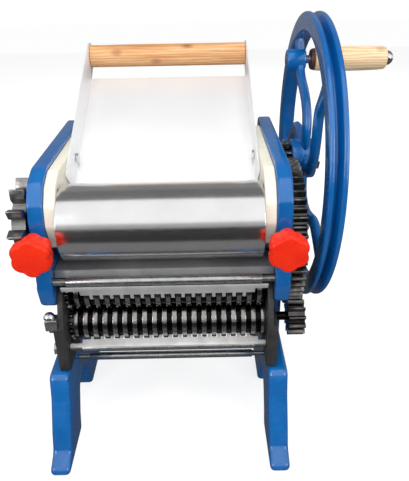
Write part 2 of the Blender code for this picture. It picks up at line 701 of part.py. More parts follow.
def roller_sleeve(name, parent):
    half = ROLLER_LENGTH / 2
    made = ring(name, -half, half, ROLLER_RADIUS, ROLLER_RADIUS - ROLLER_WALL, sides=SIDES_ROLLER)
    return complete(made, "ground_steel", parent, SMOOTH_ANGLE)


def roller_shaft(name, parent, right_end):
    half = ROLLER_LENGTH / 2
    hub = ROLLER_RADIUS - ROLLER_WALL - FIT
    left = -SYNC_OUTER
    profile = [
        (left - SHAFT_NUT_HEIGHT, 0.0), (left - SHAFT_NUT_HEIGHT, SPIGOT_RADIUS),
        (left, SPIGOT_RADIUS), (left, JOURNAL_RADIUS), (-half, JOURNAL_RADIUS), (-half, hub),
        (-half + ROLLER_HUB, hub), (-half + ROLLER_HUB, JOURNAL_RADIUS),
        (half - ROLLER_HUB, JOURNAL_RADIUS), (half - ROLLER_HUB, hub), (half, hub),
        (half, JOURNAL_RADIUS)]
    profile += right_end
    return complete(turned(name, profile), "ground_steel", parent, SMOOTH_ANGLE)


def shaft_nut(name, x_start, x_end, parent):
    made = cylinder(name, x_start, x_end, SHAFT_NUT_RADIUS, sides=SIDES_HEX)
    cut(made, cylinder("bore", x_start - OVERRUN, x_end + OVERRUN, SPIGOT_RADIUS + FIT))
    return complete(made, "zinc", parent)


def toothed(name, outline, x_start, x_end, bore, parent, material="dark_gear"):
    made = prism(name, outline, x_start, x_end)
    cut(made, cylinder("bore", x_start - OVERRUN, x_end + OVERRUN, bore))
    return complete(made, material, parent)


def drive_gear(parent, aim):
    made = prism("drive_gear", module_gear(DRIVE_TEETH, aim), GEAR_INNER, DRIVE_OUTER)
    cut(made, cylinder("bore", GEAR_INNER - OVERRUN, DRIVE_OUTER + OVERRUN, JOURNAL_RADIUS + FIT))
    outer = DRIVE_RADIUS - DEDENDUM_SHARE * MODULE - DRIVE_RIM
    cut(made, ring("recess", DRIVE_OUTER - DRIVE_RECESS, DRIVE_OUTER + OVERRUN, outer,
                   DRIVE_HUB_RADIUS, sides=2 * SIDES_ROD))
    return complete(made, "dark_gear", parent)


# Bearing blocks, screws, knobs and bushes

def bearing_block(name, side, parent):
    """Slides in the frame's window; parent is on the front roller's axis."""
    half = BLOCK_SIZE / 2
    low, high = side_x(side, FRAME_INNER + FIT, FRAME_OUTER - FIT)
    made = box(name, (low, -half, -half), (high, half, half))
    bore = cylinder("bore", low - OVERRUN, high + OVERRUN, JOURNAL_RADIUS + RUN)
    seat = lying("seat", -half - OVERRUN, -half + SCREW_SEAT + FIT, SCREW_RADIUS + FIT,
                 side * BAND_MIDDLE, -SCREW_DROP)
    return complete(cut(made, bore, seat), "dark_casting", parent)


def knob_outline(radius):
    """Six soft lobes round the Y axis, as (x, z)."""
    waist = radius * KNOB_WAIST_SHARE
    count = KNOB_LOBES * KNOB_LOBES
    points = []
    for step in range(count):
        angle = 2 * math.pi * step / count
        wave = (1 + math.cos(KNOB_LOBES * (angle - math.pi / 2))) / 2
        points.append(along((0.0, 0.0), waist + (radius - waist) * math.sqrt(wave), angle))
    return points


def knob(name, parent):
    """Parent is on the screw's axis, at the roller axis's Y."""
    back = -(KNOB_FRONT - KNOB_THICKNESS)
    levels = [(back, KNOB_RADIUS - KNOB_EDGE), (back - KNOB_EDGE, KNOB_RADIUS),
              (-KNOB_FRONT + KNOB_EDGE, KNOB_RADIUS), (-KNOB_FRONT, KNOB_RADIUS - KNOB_EDGE)]
    bm = bmesh.new()
    rings = [[bm.verts.new((x, y, z)) for x, z in knob_outline(radius)] for y, radius in levels]
    for one, two in zip(rings, rings[1:]):
        for index in range(len(one)):
            after = (index + 1) % len(one)
            bm.faces.new((one[index], one[after], two[after], two[index]))
    bm.faces.new(rings[0])
    bm.faces.new(rings[-1])
    made = object_from(name, bm)
    neck = back + KNOB_NECK_LENGTH
    add(made, lying("neck", back - KNOB_EDGE, neck, KNOB_NECK_RADIUS, 0.0, 0.0))
    socket = lying("socket", back - KNOB_THICKNESS / 2, neck + OVERRUN, SCREW_RADIUS + FIT, 0.0, 0.0)
    return complete(cut(made, socket), "red_plastic", parent, SMOOTH_ANGLE)


def adjusting_screw(name, parent):
    back = -(KNOB_FRONT - KNOB_THICKNESS)
    made = lying(name, back - KNOB_THICKNESS / 2 + FIT, -BLOCK_SIZE / 2 + SCREW_SEAT, SCREW_RADIUS,
                 0.0, 0.0)
    return complete(made, "zinc", parent, SMOOTH_ANGLE)


def roller_bush(name, side, parent):
    bore = JOURNAL_RADIUS + RUN
    made = ring(name, *side_x(side, FRAME_INNER + FIT, FRAME_OUTER), bore + BUSH_WALL, bore, REAR_AXIS)
    return complete(made, "bronze", parent, SMOOTH_ANGLE)


# Tie bolts and nuts

def tie_bolt(name, place, inner_face, seat, end, parent):
    """Hex head on the left seat, full thickness between the frames, thinner threaded ends."""
    shoulder = inner_face - THREAD_LENGTH
    inside_head = seat + NUT_HEIGHT / 2
    profile = [(-inside_head, 0.0), (-inside_head, THREAD_RADIUS), (-shoulder, THREAD_RADIUS),
               (-shoulder, ROD_RADIUS), (shoulder, ROD_RADIUS), (shoulder, THREAD_RADIUS),
               (end, THREAD_RADIUS), (end, 0.0)]
    made = turned(name, profile, place, SIDES_ROD)
    add(made, cylinder("head", -seat - NUT_HEIGHT, -seat - FIT, NUT_RADIUS, place, SIDES_HEX))
    return complete(made, "zinc", parent, SMOOTH_ANGLE)


def tie_nut(name, seat, place, parent):
    made = cylinder(name, seat + FIT, seat + NUT_HEIGHT, NUT_RADIUS, place, SIDES_HEX)
    cut(made, cylinder("bore", seat - OVERRUN, seat + NUT_HEIGHT + OVERRUN, THREAD_RADIUS + FIT, place,
                       SIDES_ROD))
    return complete(made, "zinc", parent)


# Flywheel and crank

def spoke_lead(radius):
    """How far a spoke's path is ahead of its mean direction; beyond its wave it runs straight out."""
    belly = RIM_INNER_RADIUS * SPOKE_BELLY_SHARE
    wave = min(1, (radius - belly) / (RIM_INNER_RADIUS * SPOKE_WAVE_SHARE))
    return SPOKE_SWING * math.cos(math.pi * wave)


def spoke(turn):
    """An S-shaped arm from the hub to the rim, lofted along a smooth path."""
    start = WHEEL_HUB_RADIUS * SPOKE_ROOT_SHARE
    stop = RIM_INNER_RADIUS + WHEEL_RIM / 4
    steps = 9
    bm = bmesh.new()
    rings = []
    for step in range(steps + 1):
        share = step / steps
        radius = start + (stop - start) * share
        y, z = along((0.0, 0.0), radius, turn + spoke_lead(radius))
        rings.append(Vector((SPOKE_X, y, z)))
    sections = []
    for index, centre in enumerate(rings):
        after = rings[min(index + 1, steps)]
        before = rings[max(index - 1, 0)]
        tangent = (after - before).normalized()
        across = Vector((1.0, 0.0, 0.0)).cross(tangent).normalized()
        section = []
        for side in range(SIDES_SPOKE):
            angle = 2 * math.pi * side / SIDES_SPOKE
            point = (centre + across * (SPOKE_WIDTH / 2 * math.cos(angle))
                     + Vector((1.0, 0.0, 0.0)) * (SPOKE_DEPTH / 2 * math.sin(angle)))
            section.append(bm.verts.new(point))
        sections.append(section)
    for one, two in zip(sections, sections[1:]):
        for side in range(SIDES_SPOKE):
            after = (side + 1) % SIDES_SPOKE
            bm.faces.new((one[side], one[after], two[after], two[side]))
    bm.faces.new(sections[0])
    bm.faces.new(sections[-1])
    return object_from("spoke", bm)


def flywheel(parent):
    """A rim with a belt groove between two round flanges, curved spokes, a hub and a crank boss."""
    flange = (WHEEL_WIDTH - GROOVE_MOUTH) / 2
    edge = flange / 2
    x0, x1 = WHEEL_INNER, WHEEL_OUTER
    middle = (x0 + x1) / 2
    floor = WHEEL_RADIUS - GROOVE_DEPTH
    profile = [
        (x0 + edge, RIM_INNER_RADIUS), (x0, RIM_INNER_RADIUS + edge), (x0, WHEEL_RADIUS - edge),
        (x0 + edge, WHEEL_RADIUS), (x0 + flange, WHEEL_RADIUS - edge), (middle, floor),
        (x1 - flange, WHEEL_RADIUS - edge), (x1 - edge, WHEEL_RADIUS), (x1, WHEEL_RADIUS - edge),
        (x1, RIM_INNER_RADIUS + edge), (x1 - edge, RIM_INNER_RADIUS)]
    made = turned("flywheel", profile, sides=SIDES_WHEEL)
    first = CRANK_ANGLE - spoke_lead(CRANK_RADIUS)
    for index in range(SPOKE_COUNT):
        add(made, spoke(first + 2 * math.pi * index / SPOKE_COUNT))
    add(made, cylinder("hub", HUB_INNER, HUB_OUTER, WHEEL_HUB_RADIUS))
    add(made, cylinder("boss", BOSS_INNER, BOSS_OUTER, CRANK_BOSS_RADIUS, CRANK_OFFSET))
    cut(made, cylinder("bore", HUB_INNER - OVERRUN, HUB_OUTER + OVERRUN, WHEEL_SHAFT_RADIUS + FIT),
        cylinder("stud_bore", BOSS_INNER - OVERRUN, WHEEL_OUTER + OVERRUN, STUD_RADIUS + FIT,
                 CRANK_OFFSET, SIDES_ROD))
    return complete(made, "blue_enamel", parent, SMOOTH_ANGLE)


def flywheel_shaft(parent):
    left = FRAME_OUTER + FIT + COLLAR_LENGTH + SHAFT_NUT_HEIGHT
    right = HUB_OUTER + FIT + SHAFT_NUT_HEIGHT
    profile = [(-left, 0.0), (-left, WHEEL_SHAFT_RADIUS), (HUB_OUTER, WHEEL_SHAFT_RADIUS),
               (HUB_OUTER, SPIGOT_RADIUS), (right, SPIGOT_RADIUS), (right, 0.0)]
    return complete(turned("flywheel_shaft", profile), "ground_steel", parent, SMOOTH_ANGLE)


def crank_stud(parent):
    """Steel pin through the boss; parent is on the grip's axis."""
    profile = [(BOSS_INNER, 0.0), (BOSS_INNER, STUD_RADIUS), (CAP_INNER + CAP_LENGTH / 2, STUD_RADIUS),
               (CAP_INNER + CAP_LENGTH / 2, 0.0)]
    return complete(turned("crank_stud", profile, sides=SIDES_ROD), "zinc", parent, SMOOTH_ANGLE)


# The turned grip: (x, radius) as shares of its length and its largest radius
GRIP_SHARES = [(0.00, 0.80), (0.06, 0.90), (0.18, 0.97), (0.42, 1.00), (0.70, 0.98), (0.90, 0.94),
               (1.00, 0.88)]
CAP_EDGE_SHARE = 0.80       # radius of the cap's outer edge over its own


def crank_grip(parent):
    outer = [(GRIP_INNER + x * GRIP_LENGTH, radius * GRIP_RADIUS) for x, radius in GRIP_SHARES]
    bore = STUD_RADIUS + RUN
    profile = [(GRIP_INNER, bore)] + outer + [(GRIP_OUTER, bore)]
    return complete(turned("crank_grip", profile), "pine", parent, SMOOTH_ANGLE)


def crank_cap_nut(parent):
    profile = [(CAP_INNER, 0.0), (CAP_INNER, CAP_RADIUS), (CAP_INNER + CAP_LENGTH / 2, CAP_RADIUS),
               (CAP_OUTER - CAP_LENGTH / 6, CAP_RADIUS * CAP_EDGE_SHARE), (CAP_OUTER, 0.0)]
    made = turned("crank_cap_nut", profile, sides=SIDES_ROD)
    seat = cylinder("seat", CAP_INNER - OVERRUN, CAP_INNER + CAP_LENGTH / 2 + FIT, STUD_RADIUS + FIT,
                    sides=SIDES_ROD)
    return complete(cut(made, seat), "chrome", parent, SMOOTH_ANGLE)


# Feed tray

def floor_line(y, lift=0.0):
    """Height of the tray floor's underside at y."""
    return TRAY_FRONT[1] + (y - TRAY_FRONT[0]) * math.tan(TRAY_SLOPE) + lift


def feed_tray(parent):
    outer = CHEEK_INNER - FIT
    wrap = BAR_RADIUS + BAR_WRAP
    y, z = BAR_AXIS
    rise = math.tan(TRAY_SLOPE)
    top = TRAY_WALL_TIP[1] + rise * (y - wrap / 2 - TRAY_WALL_TIP[0])
    corners = [
        (*TRAY_FRONT, 0.0), (*TRAY_WALL_TIP, wrap / 4), (y - wrap / 2, top, wrap),
        (y + wrap, z + wrap, wrap), (y + wrap, z - wrap / 2, wrap),
        (TRAY_FLOOR_END, floor_line(TRAY_FLOOR_END), wrap / 8)]
    made = prism("feed_tray", rounded(corners), -outer, outer)
    sheet = SHEET / math.cos(TRAY_SLOPE)
    far, high = y + wrap + OVERRUN, z + wrap + OVERRUN
    inside = [(0.0, floor_line(0.0, sheet)), (TRAY_FLOOR_END, floor_line(TRAY_FLOOR_END, sheet)),
              (TRAY_FLOOR_END, 0.0), (far, 0.0), (far, high), (0.0, high)]
    cut(made, prism("inside", inside, -(outer - SHEET), outer - SHEET))
    through = (-outer - OVERRUN, outer + OVERRUN)
    cut(made, cylinder("bolt_hole", *through, TRAY_BOLT_RADIUS + FIT, TRAY_BOLT, SIDES_SCREW),
        cylinder("bar_screw_hole", *through, BAR_SCREW_RADIUS + FIT, BAR_AXIS, SIDES_SCREW))
    return complete(made, "sheet_steel", parent, SMOOTH_ANGLE)


def carry_bar(parent):
    half = CHEEK_INNER - FIT - SHEET - FIT
    depth = BAR_SCREW_DEPTH + FIT
    made = cylinder("carry_bar", -half, half, BAR_RADIUS, BAR_AXIS)
    for side in (-1, 1):
        hole = side_x(side, half + OVERRUN, half - depth)
        cut(made, cylinder("screw_hole", *hole, BAR_SCREW_RADIUS + FIT, BAR_AXIS, SIDES_SCREW))
    return complete(made, "pine", parent, SMOOTH_ANGLE)


def carry_bar_screw(name, side, parent):
    half = CHEEK_INNER - FIT - SHEET - FIT
    seat = CHEEK_INNER
    stations = [(side * (seat + BAR_SCREW_RADIUS), BAR_SCREW_HEAD), (side * seat, BAR_SCREW_RADIUS),
                (side * (half - BAR_SCREW_DEPTH), 0.0)]
    return headed_screw(name, stations, BAR_AXIS, parent)


def tray_bolt(name, side, parent):
    seat = CHEEK_INNER - FIT - SHEET - FIT
    stations = [(side * (seat - TRAY_BOLT_HEAD_HEIGHT), TRAY_BOLT_HEAD),
                (side * seat, TRAY_BOLT_RADIUS),
                (side * (FRAME_INNER + CHEEK_SCREW_REACH), 0.0)]
    return headed_screw(name, stations, TRAY_BOLT, parent)


# Scrapers under the rollers

def front_scraper(parent):
    """A bent plate that runs under the front roller as a tangent to it."""
    end = FRAME_INNER - FIT
    lip = along(FRONT_AXIS, ROLLER_RADIUS + FIT, SCRAPER_TOUCH)
    bend = along(lip, SCRAPER_LENGTH, SCRAPER_TOUCH - math.pi / 2)
    foot = along(bend, SCRAPER_LIP, SCRAPER_TOUCH - SCRAPER_BEND)
    made = strip("front_scraper", -end, end, [foot, bend, lip], -SCRAPER_SHEET)
    return complete(made, "dark_casting", parent)


def rear_scraper(parent):
    """A flat chute from the rear roller to the cutter, with ears that reach the frames."""
    end = FRAME_INNER - FIT
    inner = PLATE_INNER - FIT
    lip = along(REAR_AXIS, ROLLER_RADIUS + FIT, CHUTE_TOUCH)
    tail = along(UPPER_CUTTER_AXIS, RING_RADIUS + 2 * SCRAPER_SHEET, CHUTE_TAIL)
    ear = (lip[0] + (tail[0] - lip[0]) * CHUTE_EAR_SHARE, lip[1] + (tail[1] - lip[1]) * CHUTE_EAR_SHARE)
    made = strip("rear_scraper", -end, end, [ear, lip], -SCRAPER_SHEET)
    add(made, strip("chute", -inner, inner, [tail, along(lip, SCRAPER_SHEET, CHUTE_TOUCH)],
                    -SCRAPER_SHEET))
    return complete(made, "sheet_steel", parent)


# Cutter head

# End plate: (y, z, corner radius) as shares of the distance between the cutter rolls,
# from the lower roll's axis
PLATE_SHARES = [
    (-0.920, -1.000, 0.05), (-0.920, 0.340, 0.12), (-0.560, 1.180, 0.20), (-0.300, 1.370, 0.30),
    (0.420, 1.370, 0.30), (0.620, 0.900, 0.20), (0.620, -0.600, 0.20), (0.400, -1.000, 0.05),
]
PAD_TOP_SHARE = 0.320       # the thick pad in front of the frame, in the same shares
PAD_BACK_SHARE = 0.380
PAD_CORNER_SHARE = 0.06


def plate_corners(shares):
    y0, z0 = LOWER_CUTTER_AXIS
    floor = LEDGE_HEIGHT + FIT
    corners = []
    for y, z, radius in shares:
        height = floor if z <= -1.0 else z0 + z * CUTTER_DISTANCE
        corners.append((y0 + y * CUTTER_DISTANCE, height, radius * CUTTER_DISTANCE))
    return corners


def around_pad():
    """Outline of what is taken off above and behind the pad."""
    y0, z0 = LOWER_CUTTER_AXIS
    far = 2 * CUTTER_DISTANCE
    back, top = y0 + PAD_BACK_SHARE * CUTTER_DISTANCE, z0 + PAD_TOP_SHARE * CUTTER_DISTANCE
    corner = PAD_CORNER_SHARE * CUTTER_DISTANCE
    return rounded([(y0 - far, top, 0.0), (back, top, corner), (back, z0 - far, 0.0),
                    (y0 + far, z0 - far, 0.0), (y0 + far, z0 + far, 0.0), (y0 - far, z0 + far, 0.0)])


def end_plate(name, side, parent):
    made = prism(name, rounded(plate_corners(PLATE_SHARES)), *side_x(side, PLATE_INNER, PLATE_OUTER))
    cut(made, prism("thinned", around_pad(), *side_x(side, PLATE_WEB, PLATE_OUTER + OVERRUN)))
    through = side_x(side, PLATE_INNER - OVERRUN, PLATE_OUTER + OVERRUN)
    for place in (LOWER_CUTTER_AXIS, UPPER_CUTTER_AXIS):
        cut(made, cylinder("journal_bore", *through, CUTTER_JOURNAL + RUN, place))
    cut(made, cylinder("rod_hole", *through, THREAD_RADIUS + FIT, HEAD_ROD, SIDES_ROD))
    return complete(made, "dark_casting", parent, SMOOTH_ANGLE)


def ring_places(lower):
    """Middles of the cutter rings; the upper roll's sit between the lower roll's."""
    if lower:
        return [FIRST_RING + RING_PITCH * index for index in range(RING_COUNT)]
    return [FIRST_RING + RING_PITCH * (index + 0.5) for index in range(RING_COUNT - 1)]


def cutter_roll(name, lower, right_end, parent):
    face = PLATE_INNER - FIT
    start = -face + CUTTER_SYNC_WIDTH + FIT
    profile = [(-PLATE_WEB, 0.0), (-PLATE_WEB, CUTTER_JOURNAL), (start, CUTTER_JOURNAL)]
    edge = start
    profile.append((edge, CORE_RADIUS))
    for middle in ring_places(lower):
        low, high = middle - RING_WIDTH / 2, middle + RING_WIDTH / 2
        profile += [(low, CORE_RADIUS), (low, RING_RADIUS), (high, RING_RADIUS), (high, CORE_RADIUS)]
    if not lower or ring_places(lower)[-1] + RING_WIDTH / 2 < face:
        profile.append((face, CORE_RADIUS))
    profile.append((face, CUTTER_JOURNAL))
    profile += right_end
    made = turned(name, profile, sides=SIDES_CUTTER)
    return complete(made, "dark_gear", parent)


def comb_outline(teeth, first, pitch, depth, half, tooth_length):
    """Flat comb as (along X, down): a plate with teeth on its lower edge and end lugs."""
    last = first + pitch * (teeth - 1)
    end = PLATE_INNER - FIT
    shoulder_left = first - pitch
    shoulder_right = last + pitch
    lug = depth * half
    points = [(-end, 0.0), (-end, lug), (shoulder_left, lug), (shoulder_left, depth)]
    for index in range(teeth):
        middle = first + pitch * index
        low, high = middle - COMB_TOOTH_WIDTH / 2, middle + COMB_TOOTH_WIDTH / 2
        points += [(low, depth), (low, depth + tooth_length), (high, depth + tooth_length),
                   (high, depth)]
    points += [(shoulder_right, depth), (shoulder_right, lug), (end, lug), (end, 0.0)]
    return points


def comb(name, outline, start, tilt, thickness, material, parent):
    """Lay a flat comb from (y, z) `start`, running down and back by `tilt` from the vertical."""
    down = Vector((0.0, math.sin(tilt), -math.cos(tilt)))
    back = Vector((0.0, math.cos(tilt), math.sin(tilt)))
    origin = Vector((0.0, *start))
    bm = bmesh.new()
    loop = [bm.verts.new(origin + Vector((x, 0.0, 0.0)) + down * depth) for x, depth in outline]
    face = bm.faces.new(loop)
    made = bmesh.ops.extrude_face_region(bm, geom=[face])
    moved = [item for item in made["geom"] if isinstance(item, bmesh.types.BMVert)]
    bmesh.ops.translate(bm, verts=moved, vec=back * thickness)
    return complete(object_from(name, bm), material, parent)


def cutter_combs(parent):
    first = ring_places(True)[2]
    upper = comb_outline(COMB_TEETH, first, RING_PITCH, COMB_DEPTH, HOLDER_DEPTH / COMB_DEPTH,
                         COMB_TOOTH_LENGTH)
    comb("upper_comb", upper, UPPER_COMB_TOP, UPPER_COMB_TILT, COMB_SHEET, "sheet_steel", parent)
    end = PLATE_INNER - FIT
    low = HOLDER_DROP + HOLDER_DEPTH
    holder = [(-end, HOLDER_DROP), (-end, low), (end, low), (end, HOLDER_DROP)]
    behind = COMB_SHEET + FIT
    start = (UPPER_COMB_TOP[0] + behind * math.cos(UPPER_COMB_TILT),
             UPPER_COMB_TOP[1] + behind * math.sin(UPPER_COMB_TILT))
    comb("upper_comb_holder", holder, start, UPPER_COMB_TILT, HOLDER_SHEET, "dark_casting", parent)


def lower_comb(parent):
    teeth = RING_COUNT - 3
    first = ring_places(False)[1]
    end = PLATE_INNER - FIT
    length = COMB_TOOTH_LENGTH / 2
    outline = comb_outline(teeth, first, RING_PITCH, LOWER_COMB_DEPTH, LOWER_LUG_SHARE, length)
    reach = LOWER_COMB_DEPTH + length
    tilt = math.pi + LOWER_COMB_TILT
    down = (math.sin(tilt), -math.cos(tilt))
    start = (LOWER_COMB_TIP[0] - down[0] * reach, LOWER_COMB_TIP[1] - down[1] * reach)
    comb("lower_comb", outline, start, tilt, COMB_SHEET, "sheet_steel", parent)


def clamp(parent):
    """Square block on the left end plate with a domed screw under the frame's nose."""
    half = CLAMP_BLOCK / 2
    x = -(PLATE_WEB + FIT + half)
    pad_top = LOWER_CUTTER_AXIS[1] + PAD_TOP_SHARE * CUTTER_DISTANCE
    y = LOWER_CUTTER_AXIS[0] + PLATE_SHARES[0][0] * CUTTER_DISTANCE + half
    low = pad_top + FIT
    block = box("clamp_block", (x - half, y - half, low), (x + half, y + half, low + CLAMP_BLOCK))
    screw_x = -(PLATE_OUTER + FIT + CLAMP_SCREW_RADIUS)
    cut(block, upright("hole", low - OVERRUN, low + CLAMP_BLOCK + OVERRUN, CLAMP_SCREW_RADIUS + FIT,
                       screw_x, y))
    complete(block, "zinc", parent)
    return screw_x, y, low


def clamp_screw(parent):
    """Parent is on the screw's axis at the block's underside."""
    top = CLAMP_BLOCK + FIT
    bm = bmesh.new()
    profile = [(-CLAMP_TAIL, 0.0), (-CLAMP_TAIL, CLAMP_SCREW_RADIUS), (top, CLAMP_SCREW_RADIUS),
               (top, CLAMP_DOME_RADIUS)]
    arc = 4
    for step in range(1, arc + 1):
        angle = math.pi / 2 * step / arc
        profile.append((top + CLAMP_DOME_RADIUS * math.sin(angle),
                        CLAMP_DOME_RADIUS * math.cos(angle) if step < arc else 0.0))
    rings = []
    for z, radius in profile:
        if radius <= 0:
            rings.append([bm.verts.new((0.0, 0.0, z))])
            continue
        rings.append([bm.verts.new((*along((0.0, 0.0), radius, 2 * math.pi * side / SIDES_ROD), z))
                      for side in range(SIDES_ROD)])
    for one, two in zip(rings, rings[1:]):
        for side in range(SIDES_ROD):
            after = (side + 1) % SIDES_ROD
            corners = [one[side % len(one)], one[after % len(one)],
                       two[after % len(two)], two[side % len(two)]]
            unique = list(dict.fromkeys(corners))
            if len(unique) > 2:
                bm.faces.new(unique)
    return complete(object_from("clamp_screw", bm), "chrome", parent, SMOOTH_ANGLE)


def build():
    clear_scene()
    machine = axis_empty("machine", (-CENTRE_X, -CENTRE_Y, 0.0))
    front = axis_empty("front_roller_axis", (0.0, *FRONT_AXIS), machine)
    rear = axis_empty("rear_roller_axis", (0.0, *REAR_AXIS), machine)
    wheel = axis_empty("flywheel_axis", (0.0, *WHEEL_AXIS), machine)
    crank = axis_empty("crank_grip_axis", (0.0, *CRANK_OFFSET), wheel)
    lower_cut = axis_empty("lower_cutter_axis", (0.0, *LOWER_CUTTER_AXIS), machine)
    upper_cut = axis_empty("upper_cutter_axis", (0.0, *UPPER_CUTTER_AXIS), machine)

    side_frame("left_side_frame", -1, machine)
    side_frame("right_side_frame", 1, machine)
    cheek("left_cheek", -1, machine)
    cheek("right_cheek", 1, machine)
    cheek_screw("left_cheek_screw", -1, machine)
    cheek_screw("right_cheek_screw", 1, machine)

    # Rollers
    drive_aim = WHEEL_LINE
    roller_sleeve("front_roller", front)
    roller_shaft("front_roller_shaft", front,
                 [(FRAME_OUTER + FIT, JOURNAL_RADIUS), (FRAME_OUTER + FIT, 0.0)])
    roller_sleeve("rear_roller", rear)
    right = DRIVE_OUTER
    roller_shaft("rear_roller_shaft", rear,
                 [(right, JOURNAL_RADIUS), (right, SPIGOT_RADIUS),
                  (right + SHAFT_NUT_HEIGHT, SPIGOT_RADIUS), (right + SHAFT_NUT_HEIGHT, 0.0)])
    line_to_rear = -ROLLER_LINE
    rear_sync_aim = meshing_aim(SYNC_AIM, SYNC_TEETH, SYNC_TEETH, line_to_rear)
    toothed("front_sync_gear", sync_gear(SYNC_AIM), -SYNC_OUTER, -SYNC_INNER, JOURNAL_RADIUS + FIT,
            front)
    toothed("rear_sync_gear", sync_gear(rear_sync_aim), -SYNC_OUTER, -SYNC_INNER,
            JOURNAL_RADIUS + FIT, rear)
    shaft_nut("front_sync_nut", -SYNC_NUT_OUTER, -SYNC_OUTER - FIT, front)
    shaft_nut("rear_sync_nut", -SYNC_NUT_OUTER, -SYNC_OUTER - FIT, rear)
    drive_gear(rear, drive_aim)
    shaft_nut("drive_gear_nut", right + FIT, right + FIT + SHAFT_NUT_HEIGHT, rear)

    # Front roller's adjustment
    bearing_block("left_bearing_block", -1, front)
    bearing_block("right_bearing_block", 1, front)
    for name, side in (("left", -1), ("right", 1)):
        place = (side * BAND_MIDDLE, 0.0, -SCREW_DROP)
        screw_axis = axis_empty(name + "_knob_axis", place, front)
        adjusting_screw(name + "_adjusting_screw", screw_axis)
        knob(name + "_knob", screw_axis)

    # Bushes and rods
    roller_bush("left_roller_bush", -1, machine)
    roller_bush("right_roller_bush", 1, machine)
    rod_end = WEB_OUTER + NUT_HEIGHT
    for name, place, face in (("upper", UPPER_ROD, FRAME_INNER), ("lower", LOWER_ROD, FOOT_INNER),
                              ("rear", REAR_ROD, FRAME_INNER)):
        tie_bolt(name + "_tie_bolt", place, face, WEB_OUTER, rod_end, machine)
        tie_nut(name + "_tie_nut", WEB_OUTER, place, machine)

    # Flywheel
    flywheel_shaft(wheel)
    pinion_aim = meshing_aim(drive_aim, DRIVE_TEETH, PINION_TEETH, WHEEL_LINE)
    toothed("flywheel_pinion", module_gear(PINION_TEETH, pinion_aim), GEAR_INNER, PINION_OUTER,
            WHEEL_SHAFT_RADIUS + FIT, wheel)
    flywheel(wheel)
    shaft_nut("flywheel_nut", HUB_OUTER + FIT, HUB_OUTER + FIT + SHAFT_NUT_HEIGHT, wheel)
    collar = ring("flywheel_shaft_collar", -(FRAME_OUTER + FIT + COLLAR_LENGTH), -(FRAME_OUTER + FIT),
                  COLLAR_RADIUS, WHEEL_SHAFT_RADIUS + FIT)
    complete(collar, "zinc", wheel, SMOOTH_ANGLE)
    crank_stud(crank)
    crank_grip(crank)
    crank_cap_nut(crank)

    # Feed tray
    feed_tray(machine)
    carry_bar(machine)
    for name, side in (("left", -1), ("right", 1)):
        carry_bar_screw(name + "_carry_bar_screw", side, machine)
        tray_bolt(name + "_tray_bolt", side, machine)
    front_scraper(machine)
    rear_scraper(machine)

    # Cutter head
    end_plate("left_end_plate", -1, machine)
    end_plate("right_end_plate", 1, machine)
    gear_end = GEAR_INNER + PINION_WIDTH
    cutter_roll("lower_cutter_roll", True,
                [(PLATE_OUTER, CUTTER_JOURNAL), (PLATE_OUTER, CUTTER_STUB), (gear_end, CUTTER_STUB),
                 (gear_end, 0.0)], lower_cut)
    cutter_roll("upper_cutter_roll", False,
                [(PLATE_WEB, CUTTER_JOURNAL), (PLATE_WEB, 0.0)], upper_cut)
    cutter_aim = meshing_aim(drive_aim, DRIVE_TEETH, PINION_TEETH, CUTTER_LINE)
    toothed("cutter_gear", module_gear(PINION_TEETH, cutter_aim), GEAR_INNER, gear_end,
            CUTTER_STUB + FIT, lower_cut)
    face = PLATE_INNER - FIT
    sync_module = (CUTTER_DISTANCE - BACKSET) / CUTTER_SYNC_TEETH
    upper_aim = meshing_aim(CUTTER_LEAN, CUTTER_SYNC_TEETH, CUTTER_SYNC_TEETH, CUTTER_LEAN)
    toothed("lower_cutter_sync_gear", module_gear(CUTTER_SYNC_TEETH, CUTTER_LEAN, sync_module),
            -face, -face + CUTTER_SYNC_WIDTH, CUTTER_JOURNAL + FIT, lower_cut)
    toothed("upper_cutter_sync_gear", module_gear(CUTTER_SYNC_TEETH, upper_aim, sync_module),
            -face, -face + CUTTER_SYNC_WIDTH, CUTTER_JOURNAL + FIT, upper_cut)
    cutter_combs(machine)
    lower_comb(machine)
    tie_bolt("cutter_tie_bolt", HEAD_ROD, PLATE_INNER, PLATE_OUTER, PLATE_OUTER, machine)
    x, y, z = clamp(machine)
    clamp_axis = axis_empty("clamp_screw_axis", (x, y, z), machine)
    clamp_screw(clamp_axis)


build()
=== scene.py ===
# %% [markdown]
# # A hand-cranked dough sheeter and noodle cutter
# The machine's solids are already there, in metres, with +Z up, +X towards the
# flywheel and -Y towards the person who cranks it.  This lesson gives them
# their looks: rounded edges, real threads and grain, paint, steel and wood.

# %% Load the machine's solids
import json
import math

import bmesh
import bpy
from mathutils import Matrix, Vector


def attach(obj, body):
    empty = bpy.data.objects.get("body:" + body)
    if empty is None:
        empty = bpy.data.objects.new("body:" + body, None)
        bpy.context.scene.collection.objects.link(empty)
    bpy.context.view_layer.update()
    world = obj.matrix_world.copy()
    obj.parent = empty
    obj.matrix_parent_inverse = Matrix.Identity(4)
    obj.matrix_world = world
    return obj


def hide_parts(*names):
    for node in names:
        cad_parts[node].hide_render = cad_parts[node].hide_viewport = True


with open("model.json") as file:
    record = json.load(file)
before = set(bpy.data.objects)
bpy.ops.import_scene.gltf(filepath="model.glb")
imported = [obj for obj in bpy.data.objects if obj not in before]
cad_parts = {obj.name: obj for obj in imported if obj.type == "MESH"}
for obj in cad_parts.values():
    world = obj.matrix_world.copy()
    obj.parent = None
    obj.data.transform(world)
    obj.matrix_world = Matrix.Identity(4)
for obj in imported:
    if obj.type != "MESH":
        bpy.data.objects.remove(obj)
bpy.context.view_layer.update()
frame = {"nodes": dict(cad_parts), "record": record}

nodes = frame["nodes"]

